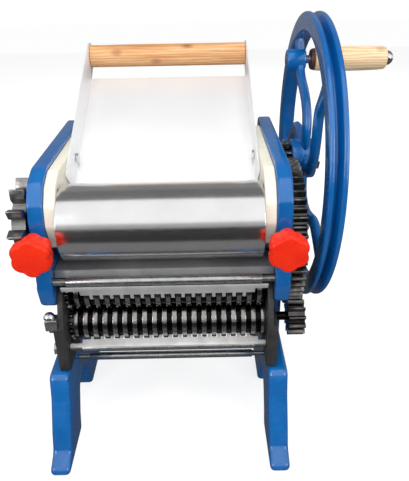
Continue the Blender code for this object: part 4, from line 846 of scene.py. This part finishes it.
# %% Frame outlines
FRAME_DEPTH, FRAME_TOP, FRAME_TOE = 0.287, 0.311, 0.103
FRAME_INNER, FRAME_OUTER = 0.112, 0.1275
FOOT_INNER, FOOT_OUTER = 0.1076, 0.129
WEB_OUTER = 0.1205
FRAME_SHARES = [
    (0.411, 0.230, 0.000), (0.401, 0.311, 0.010), (0.401, 0.508, 0.020), (0.366, 0.534, 0.020),
    (0.254, 0.558, 0.015), (0.229, 0.577, 0.025), (0.216, 0.640, 0.050), (0.244, 0.725, 0.050),
    (0.256, 0.862, 0.040), (0.268, 0.918, 0.035), (0.314, 0.973, 0.070), (0.387, 1.000, 0.070),
    (0.976, 1.000, 0.016), (1.000, 0.955, 0.030), (0.955, 0.720, 0.100), (0.850, 0.300, 0.000),
    (0.790, 0.230, 0.000),
]
LEG_SHARES = [
    (0.0000, 0.000, 0.000), (0.0050, 0.026, 0.012), (0.0660, 0.055, 0.030), (0.0910, 0.115, 0.040),
    (0.1510, 0.222, 0.050), (0.1720, 0.294, 0.014), (0.1860, 0.311, 0.010), (0.8500, 0.311, 0.004),
    (0.8050, 0.190, 0.070), (0.7920, 0.000, 0.007), (0.4910, 0.000, 0.007), (0.4770, 0.045, 0.030),
    (0.4350, 0.167, 0.070), (0.3240, 0.167, 0.070), (0.2620, 0.064, 0.050), (0.2370, 0.000, 0.007),
]
PANEL_SHARES = [
    (0.452, 0.958, 0.025), (0.942, 0.958, 0.025), (0.910, 0.740, 0.060), (0.783, 0.370, 0.030),
    (0.446, 0.370, 0.030), (0.446, 0.620, 0.030),
]


def frame_corners(shares):
    return [(y * FRAME_DEPTH - FRAME_TOE, z * FRAME_TOP, r * FRAME_DEPTH) for y, z, r in shares]


print("frame", round(1000 * FRAME_DEPTH), "mm deep,", round(1000 * FRAME_TOP), "mm high")

# %% The right side frame
EDGE_ROUND, LEG_ROUND = 0.0028, 0.0050
PAST = 0.002
SCREW_BOSS_RADIUS, SCREW_BOSS_LENGTH, SCREW_BOSS_ROUND = 0.0092, 0.010, 0.0012
SCREW_BOSS_FRONT, KNOB_HEIGHT = -0.031, 0.2472


def upper_casting(name):
    body = slab(name, for_thick_edge(frame_corners(FRAME_SHARES), EDGE_ROUND), FRAME_INNER, FRAME_OUTER)
    joined(body, "DIFFERENCE", slab("panel", frame_corners(PANEL_SHARES), WEB_OUTER, FRAME_OUTER + PAST))
    return round_edges(body, EDGE_ROUND, 4, clamped=False)


def legs_casting(name):
    legs = slab(name, for_thick_edge(frame_corners(LEG_SHARES), LEG_ROUND), FOOT_INNER, FOOT_OUTER, 8)
    return round_edges(legs, LEG_ROUND, 5, clamped=False)


def screw_boss():
    put_down()
    middle = (FRAME_INNER + FRAME_OUTER) / 2
    bpy.ops.mesh.primitive_cylinder_add(vertices=40, radius=SCREW_BOSS_RADIUS, depth=SCREW_BOSS_LENGTH,
                                        location=at(middle, SCREW_BOSS_FRONT, KNOB_HEIGHT),
                                        rotation=(math.pi / 2, 0.0, 0.0))
    return round_edges(settle(bpy.context.object), SCREW_BOSS_ROUND, 3)


right_frame = upper_casting("right_side_casting")
right_legs = legs_casting("right_legs")
print("casting faces", len(right_frame.data.polygons), "legs", len(right_legs.data.polygons))

# %% [markdown]
# A foundry casts the frame first, and a machine shop then cuts its openings,
# so they are sharp where the casting is round.  The script keeps that order:
# the window, the bores and the bolt seats are cut after the edges are rounded.
# The legs' rounding overlaps itself a little at the toes, which the exact
# Boolean solver doesn't stand, so the legs are cut with the fast one.

# %% Its window, bores and bolt seats
ROLLER_SEAT, SHAFT_BORE, ROD_BORE, ROD_SEAT = 0.0151, 0.0083, 0.0039, 0.0078
UPPER_ROD, LOWER_ROD, REAR_ROD = (-0.031, 0.2025), (0.0, 0.0790), (0.168, 0.2840)
WINDOW_HALF, SLIDE_ROOM = 0.0183, 0.004


def cut_window(body):
    front, back = -WINDOW_HALF - SLIDE_ROOM, WINDOW_HALF
    low, high = FRONT_ROLLER[1] - WINDOW_HALF, FRONT_ROLLER[1] + WINDOW_HALF
    corners = [(front, low, 0), (back, low, 0), (back, high, 0), (front, high, 0)]
    joined(body, "DIFFERENCE", slab("window", corners, FOOT_INNER - PAST, FOOT_OUTER + PAST))


def drill(body, radius, *places, solver="EXACT"):
    for place in places:
        bit = rod("bore", FOOT_INNER - PAST, FOOT_OUTER + PAST, radius, place)
        joined(body, "DIFFERENCE", bit, solver=solver)


def sink_seat(body, *places, solver="EXACT"):
    """Cut the round seat of a bolt's head or nut down to the panel's floor."""
    for place in places:
        cutter = rod("seat", WEB_OUTER, FOOT_OUTER + PAST, ROD_SEAT, place, 30)
        joined(body, "DIFFERENCE", cutter, solver=solver)


cut_window(right_frame)
drill(right_frame, ROLLER_SEAT, REAR_ROLLER)
drill(right_frame, SHAFT_BORE, WHEEL)
drill(right_frame, ROD_BORE, UPPER_ROD, REAR_ROD)
sink_seat(right_frame, UPPER_ROD, REAR_ROD)
drill(right_legs, ROD_BORE, LOWER_ROD, solver="FAST")
sink_seat(right_legs, LOWER_ROD, solver="FAST")
print("with its openings", len(right_frame.data.polygons), "faces, legs", len(right_legs.data.polygons))

# %% [markdown]
# Two raised bosses carry the roller's bush and the flywheel's shaft.  A union
# has to sort out surfaces that nearly lie on each other here, and on a busy
# computer it can lose half the casting.  Closed shells that
# stand a little inside each other look the same from outside, so the upper
# part, the legs and the bosses are joined into one piece as they are.

# %% Bosses, and both side frames
ROLLER_BOSS, SHAFT_BOSS = 0.0240, 0.0205
BOSS_DROP, BORE_SLACK, BOSS_ROUND = 0.0002, 0.0004, 0.0015


def raised_boss(radius, bore, place):
    """A turned ring on the panel's floor, a hair lower than the casting's face."""
    face, hole = FRAME_OUTER - BOSS_DROP, bore + BORE_SLACK
    section = [(WEB_OUTER - PAST, hole, 0.0), (WEB_OUTER - PAST, radius, 0.0),
               (face, radius, BOSS_ROUND), (face, hole, 0.0)]
    return lathe("boss", section, place, 64, 4)


shells = [right_legs, screw_boss(), raised_boss(ROLLER_BOSS, ROLLER_SEAT, REAR_ROLLER),
          raised_boss(SHAFT_BOSS, SHAFT_BORE, WHEEL)]
hold(right_frame)
for shell in shells:
    shell.select_set(True)
bpy.ops.object.join()
smooth(right_frame, 40.0)
left_frame = twin(right_frame, "left_side_casting", flip=True)
hand_over(right_frame, blue_enamel, "right_side_frame")
hand_over(smooth(left_frame, 40.0), blue_enamel, "left_side_frame")
print("side frames", len(right_frame.data.polygons), "faces each")

# %% [markdown]
# ## Cheeks
# The pale cheeks keep the dough between the rollers.  They are sawn from thick
# nylon board.  Their outline has soft corners but few of them, so a slab with
# one narrow bevel is enough, and the four holes are drilled with rods.

# %% Both cheeks
CHEEK_INNER, CHEEK_OUTER, CHEEK_ROUND = 0.1003, 0.1117, 0.0014
CHEEK_SHARES = [
    (0.279, 0.765, 0.008), (0.259, 0.845, 0.040), (0.273, 0.908, 0.030), (0.316, 0.959, 0.040),
    (0.383, 0.989, 0.040), (0.885, 0.989, 0.012), (0.878, 0.930, 0.020), (0.710, 0.700, 0.030),
    (0.645, 0.600, 0.020), (0.525, 0.600, 0.020), (0.440, 0.660, 0.020), (0.385, 0.765, 0.020),
]
CHEEK_SCREW = (-0.005519, 0.289546)
CHEEK_BORES = ((FRONT_ROLLER, 0.0160), (REAR_ROLLER, 0.0113), (WHEEL, SHAFT_BORE), (CHEEK_SCREW, 0.0045))


def cheek_board(name):
    corners = for_thick_edge(frame_corners(CHEEK_SHARES), CHEEK_ROUND)
    board = slab(name, corners, CHEEK_INNER, CHEEK_OUTER)
    round_edges(board, CHEEK_ROUND, 3, clamped=False)
    for place, radius in CHEEK_BORES:
        joined(board, "DIFFERENCE", rod("bore", CHEEK_INNER - PAST, CHEEK_OUTER + PAST, radius, place))
    return smooth(board, 40.0)


right_cheek = cheek_board("right_cheek_board")
left_cheek = smooth(twin(right_cheek, "left_cheek_board", flip=True), 40.0)
hand_over(right_cheek, cream_nylon, "right_cheek")
hand_over(left_cheek, cream_nylon, "left_cheek")
print("cheek boards", len(right_cheek.data.polygons), "faces each")

# %% [markdown]
# ## Rollers and shafts
# A roller is a ground steel tube on a turned shaft.  A cylinder primitive is
# solid and has sharp ends, and few facets would show at once in a mirror
# finish.  So the tube's section is spun in many steps, with the small rounding
# that the grinder leaves at each end.

# %% Two rollers
ROLLER_HALF, ROLLER_RADIUS, ROLLER_BORE, ROLLER_ROUND = 0.100, 0.0392, 0.0302, 0.0009
ROLLER_SECTION = [
    (-ROLLER_HALF, ROLLER_BORE, 0.0), (-ROLLER_HALF, ROLLER_RADIUS, ROLLER_ROUND),
    (ROLLER_HALF, ROLLER_RADIUS, ROLLER_ROUND), (ROLLER_HALF, ROLLER_BORE, 0.0),
]
front_roller = smooth(lathe("front_roller_sleeve", ROLLER_SECTION, FRONT_ROLLER, 128))
rear_roller = twin(front_roller, "rear_roller_sleeve",
                   (0.0, REAR_ROLLER[0] - FRONT_ROLLER[0], REAR_ROLLER[1] - FRONT_ROLLER[1]))
hand_over(front_roller, ground_steel, "front_roller")
hand_over(smooth(rear_roller), ground_steel, "rear_roller")
print("roller", round(2000 * ROLLER_HALF), "by", round(2000 * ROLLER_RADIUS), "mm")

# %% [markdown]
# ## Cutter rolls
# Two rolls of square rings shear the sheet into noodles, each ring between two
# of the other roll.  Rings and core could be separate discs on a shaft, but
# the real roll is turned from one bar.  So one half section holds all the
# rings, with a tiny rounding on their edges that catches the light.  Dough
# keeps the rings bright.  The grooves get painted shade, black near the core
# and gone at the ring tops, which is a matter of distance from the axis.

# %% Cutter rolls
RING_RADIUS, CORE_RADIUS, RING_PITCH, RING_WIDTH = 0.0213, 0.0181, 0.0106, 0.0050
FIRST_RING, RING_COUNT, RING_ROUND = -0.0983, 20, 0.0005
ROLL_START, ROLL_FACE, ROLL_JOURNAL, STUB_BACK = -0.1012, 0.1057, 0.0060, 0.0010
# Radii from the axis where the painted shade in the grooves thins out and ends.
GROOVE_SHADE_THINS, GROOVE_SHADE_ENDS = CORE_RADIUS + 0.0012, RING_RADIUS - 0.0006
PLATE_INNER, PLATE_WEB, PLATE_OUTER = 0.1060, 0.1117, 0.1170


def ring_section(middles, left_end, right_end, stub):
    """Half section of a roll; its right journal thins to the stub's radius past the plate."""
    line = [(left_end, 0.0, 0.0), (left_end, ROLL_JOURNAL, 0.0), (ROLL_START, ROLL_JOURNAL, 0.0),
            (ROLL_START, CORE_RADIUS, 0.0)]
    for middle in middles:
        low, high = middle - RING_WIDTH / 2, middle + RING_WIDTH / 2
        line += [(low, CORE_RADIUS, 0.0), (low, RING_RADIUS, RING_ROUND), (high, RING_RADIUS, RING_ROUND),
                 (high, CORE_RADIUS, 0.0)]
    step = PLATE_WEB - STUB_BACK
    return line + [(ROLL_FACE, CORE_RADIUS, 0.0), (ROLL_FACE, ROLL_JOURNAL, 0.0),
                   (step, ROLL_JOURNAL, 0.0), (step, stub, 0.0), (right_end, stub, 0.0),
                   (right_end, 0.0, 0.0)]


def cutter_roll(name, middles, right_end, stub, centre):
    section = ring_section(middles, -PLATE_WEB, right_end, stub)
    return smooth(lathe(name, section, centre, 64, 2), 30.0)


def ring_steel(name, centre):
    """Rings polished by dough, over grooves darkened with painted shade."""
    return metal_finish(name, (0.30, 0.297, 0.293), (0.44, 0.435, 0.43), 0.12, 0.22, fine=600.0,
                        cloud=80.0, depth=0.00004, groove_shade=(centre, GROOVE_SHADE_THINS, GROOVE_SHADE_ENDS))


lower_middles = [FIRST_RING + RING_PITCH * index for index in range(RING_COUNT)]
upper_middles = [FIRST_RING + RING_PITCH * (index + 0.5) for index in range(RING_COUNT - 1)]
lower_roll = cutter_roll("lower_ring_roll", lower_middles, 0.1490, 0.00475, LOWER_CUTTER)
upper_roll = cutter_roll("upper_ring_roll", upper_middles, PLATE_WEB, 0.0055, UPPER_CUTTER)
hand_over(lower_roll, ring_steel("lower_ring_steel", LOWER_CUTTER), "lower_cutter_roll")
hand_over(upper_roll, ring_steel("upper_ring_steel", UPPER_CUTTER), "upper_cutter_roll")
print("rings", len(lower_middles), "and", len(upper_middles))

# %% [markdown]
# ## Tie rods
# Four plated rods hold the castings and the cutter head apart.  Each is thick
# between its shoulders and threaded thinner at both ends.  A true thread is a
# ridge that winds round like a screw, but from a step away it is a row of fine
# ridges, so the half section gets a zigzag.

# %% Threaded rods
ROD_RADIUS, THREAD_RADIUS, THREAD_ROOT, THREAD_PITCH = 0.0045, 0.0036, 0.0030, 0.0010
SHOULDER_BACK, SHOULDER_ROUND, ROD_END = 0.013, 0.0004, 0.1267
HEAD_RADIUS, HEAD_HEIGHT, HEAD_ROUND = 0.0072, 0.0059, 0.0005
HEAD_GAP = 0.0003


def threaded(start, stop):
    """Zigzag (x, radius, rounding) corners from start to stop."""
    count = int(abs(stop - start) / THREAD_PITCH)
    step = (stop - start) / count
    line = []
    for index in range(count):
        x = start + index * step
        line += [(x, THREAD_ROOT, 0.0), (x + step / 2, THREAD_RADIUS, 0.0)]
    return line + [(stop, THREAD_ROOT, 0.0)]


def hex_head(x_start, x_end, place):
    head = rod("head", x_start, x_end, HEAD_RADIUS, place, 6)
    return round_edges(head, HEAD_ROUND, 2, 25.0)


def tie_rod(name, place, inner_face, seat, end):
    """A threaded rod with its head at the left; its thread ends inside the head."""
    shoulder, start = inner_face - SHOULDER_BACK, -seat - HEAD_HEIGHT / 2
    line = [(start, 0.0, 0.0)] + threaded(start, -shoulder)
    line += [(-shoulder, ROD_RADIUS, SHOULDER_ROUND), (shoulder, ROD_RADIUS, SHOULDER_ROUND)]
    line += threaded(shoulder, end) + [(end, 0.0, 0.0)]
    made = lathe(name, line, place, 32, 2)
    joined(made, "UNION", hex_head(-seat - 0.0062, -seat - HEAD_GAP, place))
    return smooth(made, 30.0)


HEAD_ROD = (-0.030037, 0.116958)
RODS = {
    "upper_tie_bolt": (UPPER_ROD, FRAME_INNER, WEB_OUTER, ROD_END),
    "lower_tie_bolt": (LOWER_ROD, FOOT_INNER, WEB_OUTER, ROD_END),
    "rear_tie_bolt": (REAR_ROD, FRAME_INNER, WEB_OUTER, ROD_END),
    "cutter_tie_bolt": (HEAD_ROD, PLATE_INNER, PLATE_OUTER, PLATE_OUTER),
}
for node, (place, inner_face, seat, end) in RODS.items():
    hand_over(tie_rod(node + "_threaded", place, inner_face, seat, end), zinc, node)
print("four threaded rods")

# %% [markdown]
# ## Flywheel
# The flywheel is cast in one piece: a rim with a deep belt groove between two
# round lips, a hub, a boss for the crank and five arms that curve like an S.
# The rim, hub and boss are turned.  An arm could be a curve with a bevel, but
# it is wider where it meets the hub and the rim.  So it is one oval, extruded,
# turned and scaled step by step along its line, and the others are copies.

# %% Rim, hub and boss
WHEEL_INNER, WHEEL_OUTER, WHEEL_RADIUS, RIM_BORE = 0.1595, 0.1785, 0.1680, 0.1460
GROOVE_FLOOR, LIP = 0.1550, 0.0054
RIM_MIDDLE = (WHEEL_INNER + WHEEL_OUTER) / 2
RIM_SECTION = [
    (WHEEL_INNER, RIM_BORE, 0.0030), (WHEEL_INNER, WHEEL_RADIUS, 0.0026),
    (WHEEL_INNER + LIP, WHEEL_RADIUS, 0.0024), (RIM_MIDDLE - 0.0012, GROOVE_FLOOR, 0.0008),
    (RIM_MIDDLE + 0.0012, GROOVE_FLOOR, 0.0008), (WHEEL_OUTER - LIP, WHEEL_RADIUS, 0.0024),
    (WHEEL_OUTER, WHEEL_RADIUS, 0.0026), (WHEEL_OUTER, RIM_BORE, 0.0030),
]
HUB_SECTION = [(0.1493, 0.0, 0.0), (0.1493, 0.0240, 0.0020), (0.1793, 0.0240, 0.0030),
               (0.1793, 0.0, 0.0)]
BOSS_SECTION = [(0.1480, 0.0, 0.0), (0.1480, 0.0125, 0.0030), (0.1718, 0.0125, 0.0022),
                (0.1718, 0.0, 0.0)]
wheel_rim = lathe("flywheel_casting", RIM_SECTION, WHEEL, 144, 5)
print("rim faces", len(wheel_rim.data.polygons))

# %% One arm along its curve
ARM_X, ARM_WIDTH, ARM_DEPTH, ARM_STEPS = 0.16566, 0.0160, 0.0110, 26
ARM_START, ARM_STOP = 0.0192, 0.1515
ARM_SWING, ARM_BELLY, ARM_WAVE = math.radians(24), 0.205 * RIM_BORE, 0.55 * RIM_BORE
CRANK_ANGLE, CRANK_RADIUS = math.radians(60.5), 0.1235


def arm_lead(radius):
    """An arm swings forward near the hub, back further out, and then runs straight to the rim."""
    return ARM_SWING * math.cos(math.pi * min(1, (radius - ARM_BELLY) / ARM_WAVE))


def arm_place(share):
    radius = ARM_START + (ARM_STOP - ARM_START) * share
    angle = CRANK_ANGLE - arm_lead(CRANK_RADIUS) + arm_lead(radius)
    return at(ARM_X, WHEEL[0] + radius * math.cos(angle), WHEEL[1] + radius * math.sin(angle))


def arm_heading(share):
    run = arm_place(min(share + 0.01, 1.0)) - arm_place(max(share - 0.01, 0.0))
    return math.atan2(run.z, run.y)


def arm_flare(share):
    """An arm widens where it runs into the hub and the rim."""
    return 1.0 + 0.55 * math.exp(-(share / 0.16) ** 2) + 0.60 * math.exp(-((1.0 - share) / 0.10) ** 2)


def turn_about_x(angle, centre):
    """Turn what is selected; with no window the operator turns the other way, hence the minus."""
    bpy.ops.transform.rotate(value=-angle, orient_axis="X", center_override=centre)


def wheel_arm():
    """One arm from the hub to the rim, extruded and turned step by step."""
    put_down()
    bpy.ops.mesh.primitive_circle_add(vertices=16, radius=1.0, fill_type="NGON",
                                      location=(0.0, 0.0, 0.0))
    arm = bpy.context.object
    arm.name = "arm"
    open_mesh(arm, True)
    bpy.ops.transform.resize(value=(ARM_DEPTH / 2, ARM_WIDTH / 2 * arm_flare(0.0), 1.0))
    turn_about_x(arm_heading(0.0) - math.pi / 2, (0.0, 0.0, 0.0))
    bpy.ops.transform.translate(value=arm_place(0.0))
    for step in range(ARM_STEPS):
        before, after = step / ARM_STEPS, (step + 1) / ARM_STEPS
        place = arm_place(after)
        bpy.ops.mesh.extrude_region_move(TRANSFORM_OT_translate={"value": place - arm_place(before)})
        turn_about_x(arm_heading(after) - arm_heading(before), place)
        growth = arm_flare(after) / arm_flare(before)
        bpy.ops.transform.resize(value=(1.0, growth, growth), center_override=place)
    face_outwards()
    close_mesh()
    return arm


first_arm = wheel_arm()
print("arm reaches", round((arm_place(1.0) - at(ARM_X, *WHEEL)).length, 4), "m from the shaft")

# %% Five arms, joined and bored
ARM_COUNT, STUD_BORE = 5, 0.0053
arms = [first_arm]
for index in range(1, ARM_COUNT):
    arm = twin(first_arm, "arm")
    open_mesh(arm, True)
    turn_about_x(2 * math.pi * index / ARM_COUNT, at(0.0, *WHEEL))
    close_mesh()
    arms.append(arm)
hub = lathe("hub", HUB_SECTION, WHEEL, 64, 4)
crank_boss = lathe("boss", BOSS_SECTION, CRANK, 48, 4)
joined(wheel_rim, "UNION", *arms, hub, crank_boss)
joined(wheel_rim, "DIFFERENCE", rod("bore", 0.145, 0.185, SHAFT_BORE, WHEEL, 48),
       rod("stud_bore", 0.145, 0.176, STUD_BORE, CRANK, 32))
hand_over(smooth(wheel_rim, 40.0), blue_enamel, "flywheel")
print("flywheel faces", len(wheel_rim.data.polygons))

# %% [markdown]
# ## Wooden grip, cap nut and carry bar
# Both wooden pieces were turned on a lathe, and so are their meshes: a half
# section has the tool's own shape, where a scaled cylinder would keep straight
# sides.  The grip is a slim barrel that turns on its stud, held by a domed cap
# nut.

# %% Turned wood
GRIP_LENGTH, GRIP_RADIUS, GRIP_BORE = 0.0940, 0.0148, 0.0056
GRIP_SHARES = [(0.00, 0.80, 0.002), (0.06, 0.90, 0.02), (0.18, 0.97, 0.05), (0.42, 1.00, 0.20),
               (0.70, 0.98, 0.10), (0.90, 0.94, 0.02), (1.00, 0.88, 0.003)]
grip_line = [(GRIP_START + x * GRIP_LENGTH, r * GRIP_RADIUS, rounding) for x, r, rounding in GRIP_SHARES]
grip_line = [(GRIP_START, GRIP_BORE, 0.0)] + grip_line + [(GRIP_START + GRIP_LENGTH, GRIP_BORE, 0.0)]
grip = smooth(lathe("turned_crank_grip", grip_line, CRANK, 64, 5))
hand_over(grip, grip_pine, "crank_grip")
BAR_AXIS, BAR_RADIUS, BAR_HALF, BAR_BORE, BAR_ROUND = (0.2285, 0.3785), 0.0135, 0.0985, 0.0023, 0.0014
bar_line = [(-BAR_HALF, BAR_BORE, 0.0), (-BAR_HALF, BAR_RADIUS, BAR_ROUND),
            (BAR_HALF, BAR_RADIUS, BAR_ROUND), (BAR_HALF, BAR_BORE, 0.0)]
bar = smooth(lathe("turned_carry_bar", bar_line, BAR_AXIS, 64, 3))
hand_over(bar, bar_pine, "carry_bar")
print("grip", round(1000 * GRIP_LENGTH), "mm, bar", round(2000 * BAR_HALF), "mm")

# %% Domed cap nut
CAP_START, CAP_END, CAP_RADIUS = 0.2721, 0.2805, 0.0085
CAP_DEPTH, DOME_ROUND = 0.0045, 0.0040
cap_line = [(CAP_START, STUD_BORE, 0.0), (CAP_START, CAP_RADIUS, 0.0006),
            (CAP_START + 0.0042, CAP_RADIUS, DOME_ROUND), (CAP_END, 0.0046, DOME_ROUND),
            (CAP_END, 0.0, 0.0), (CAP_START + CAP_DEPTH, 0.0, 0.0),
            (CAP_START + CAP_DEPTH, STUD_BORE, 0.0)]
cap = smooth(lathe("domed_cap_nut", cap_line, CRANK, 48, 5), 50.0)
hand_over(cap, chrome, "crank_cap_nut")
print("cap nut", round(2000 * CAP_RADIUS), "mm wide")

# %% [markdown]
# ## Red knobs
# Each knob is a moulded disc with six soft lobes and a bevelled rim.  Six
# cylinders could be cut from a disc, but that leaves sharp points.  Instead a
# filled circle's points are pulled in by groups, which makes soft waves, and
# the face is extruded forward and back with a little scaling.

# %% A lobed knob
KNOB_RADIUS, KNOB_WAIST, KNOB_LOBES, KNOB_POINTS = 0.0200, 0.86, 6, 72
KNOB_FACE, KNOB_BACK, KNOB_EDGE, KNOB_ROUND = -0.0630, -0.0485, 0.0025, 0.0009
KNOB_X, NECK_SHARE, NECK_LENGTH = 0.11975, 0.45, 0.008


def pull_in_lobes(piece, centre):
    """Scale the rim's points towards the middle, one phase of all six lobes at a time."""
    for phase in range(KNOB_POINTS // KNOB_LOBES):
        turn = 2 * math.pi * phase / KNOB_POINTS
        wave = (1 + math.cos(KNOB_LOBES * turn)) / 2
        size = KNOB_WAIST + (1 - KNOB_WAIST) * math.sqrt(wave)

        def in_phase(vertex):
            away = vertex.co - centre
            index = round(math.atan2(away.x, away.z) / (2 * math.pi / KNOB_POINTS))
            return index % (KNOB_POINTS // KNOB_LOBES) == phase and away.length > KNOB_RADIUS * 0.999

        pick(piece, "VERT", in_phase)
        bpy.ops.transform.resize(value=(size, 1.0, size), center_override=centre)


def push_face(piece, side, y_to, size, centre):
    """Extrude the outermost face on one side to a Y of the machine and scale it."""
    pick(piece, "FACE", lambda face: face.normal.y * side > 0.9)
    bm = bmesh.from_edit_mesh(piece.data)
    here = next(face for face in bm.faces if face.select).calc_center_median().y
    move = (0.0, at(0.0, y_to, 0.0).y - here, 0.0)
    bpy.ops.mesh.extrude_region_move(TRANSFORM_OT_translate={"value": move})
    bpy.ops.transform.resize(value=(size, 1.0, size), center_override=centre)


def lobed_knob(name):
    centre = at(KNOB_X, KNOB_FACE + KNOB_EDGE, KNOB_HEIGHT)
    put_down()
    bpy.ops.mesh.primitive_circle_add(vertices=KNOB_POINTS, radius=KNOB_RADIUS, fill_type="NGON",
                                      location=centre, rotation=(math.pi / 2, 0.0, 0.0))
    piece = settle(bpy.context.object)
    piece.name = name
    open_mesh(piece)
    pull_in_lobes(piece, centre)
    taper = 1 - KNOB_EDGE / KNOB_RADIUS
    front = at(KNOB_X, KNOB_FACE, KNOB_HEIGHT)
    push_face(piece, -1, KNOB_FACE, taper, front)
    face_outwards()
    push_face(piece, 1, KNOB_BACK - KNOB_EDGE, 1.0, centre)
    push_face(piece, 1, KNOB_BACK, taper, centre)
    push_face(piece, 1, KNOB_BACK, NECK_SHARE, centre)
    push_face(piece, 1, KNOB_BACK + NECK_LENGTH, 1.0, centre)
    face_outwards()
    close_mesh()
    return smooth(round_edges(piece, KNOB_ROUND, 3, 20.0), 40.0)


right_knob = lobed_knob("right_lobed_knob")
left_knob = twin(right_knob, "left_lobed_knob", (-2 * KNOB_X, 0.0, 0.0))
hand_over(right_knob, red_plastic, "right_knob")
hand_over(left_knob, red_plastic, "left_knob")
print("knobs", round(2000 * KNOB_RADIUS), "mm over the lobes")

# %% [markdown]
# ## Pieces whose solid is already right
# Plates, nuts, gears and combs have the right shape, so drawing them again
# would only repeat work.  But their edges are razor sharp, and no real edge
# is.  Each gets a copy whose loose triangles are merged into whole faces, with
# a narrow bevel that catches the light.

# %% Softened copies
SOFTENED = {
    "left_cheek_screw": (0.0003, zinc), "right_cheek_screw": (0.0003, zinc),
    "left_roller_bush": (0.0003, bronze), "right_roller_bush": (0.0003, bronze),
    "upper_tie_nut": (0.0005, zinc), "lower_tie_nut": (0.0005, zinc), "rear_tie_nut": (0.0005, zinc),
    "feed_tray": (0.0004, sheet_steel),
    "left_carry_bar_screw": (0.0003, zinc), "right_carry_bar_screw": (0.0003, zinc),
    "left_tray_bolt": (0.0004, chrome), "right_tray_bolt": (0.0004, chrome),
    "front_scraper": (0.0004, scraper_steel), "rear_scraper": (0.0004, scraper_steel),
    "left_end_plate": (0.0016, dark_casting), "right_end_plate": (0.0016, dark_casting),
    "upper_comb": (0.0003, comb_steel), "upper_comb_holder": (0.0004, dark_casting),
    "lower_comb": (0.0003, comb_steel),
    "clamp_block": (0.0008, zinc), "flywheel_shaft": (0.0004, dark_steel),
    "flywheel_pinion": (0.0004, dark_gear), "flywheel_nut": (0.0005, zinc),
    "flywheel_shaft_collar": (0.0006, zinc), "crank_stud": (0.0004, zinc),
    "rear_roller_shaft": (0.0004, dark_steel), "rear_sync_gear": (0.0005, sync_gear),
    "rear_sync_nut": (0.0005, zinc), "drive_gear": (0.0004, dark_gear), "drive_gear_nut": (0.0005, zinc),
    "left_bearing_block": (0.0006, dark_casting), "right_bearing_block": (0.0006, dark_casting),
    "front_roller_shaft": (0.0004, dark_steel), "front_sync_gear": (0.0005, sync_gear),
    "front_sync_nut": (0.0005, zinc), "cutter_gear": (0.0004, dark_gear),
    "lower_cutter_sync_gear": (0.0002, cutter_steel), "upper_cutter_sync_gear": (0.0002, cutter_steel),
    "left_adjusting_screw": (0.0003, zinc), "right_adjusting_screw": (0.0003, zinc),
    "clamp_screw": (0.0004, chrome),
}


DOUBLE_GAP, FLAT_ANGLE = 0.00001, math.radians(0.6)


def softened(node, width):
    """A copy of a solid with whole faces and narrow rounded edges."""
    piece = bpy.data.objects.new(node + "_finished", nodes[node].data.copy())
    bpy.context.scene.collection.objects.link(piece)
    open_mesh(piece, True)
    bpy.ops.mesh.remove_doubles(threshold=DOUBLE_GAP)
    bpy.ops.mesh.dissolve_limited(angle_limit=FLAT_ANGLE)
    close_mesh()
    round_edges(piece, width, 2)
    return smooth(piece)


for node, (width, material) in SOFTENED.items():
    hand_over(softened(node, width), material, node)
print(len(shown), "pieces,", sum(shown.values()), "faces")

# %% Putting the last piece down
put_down()
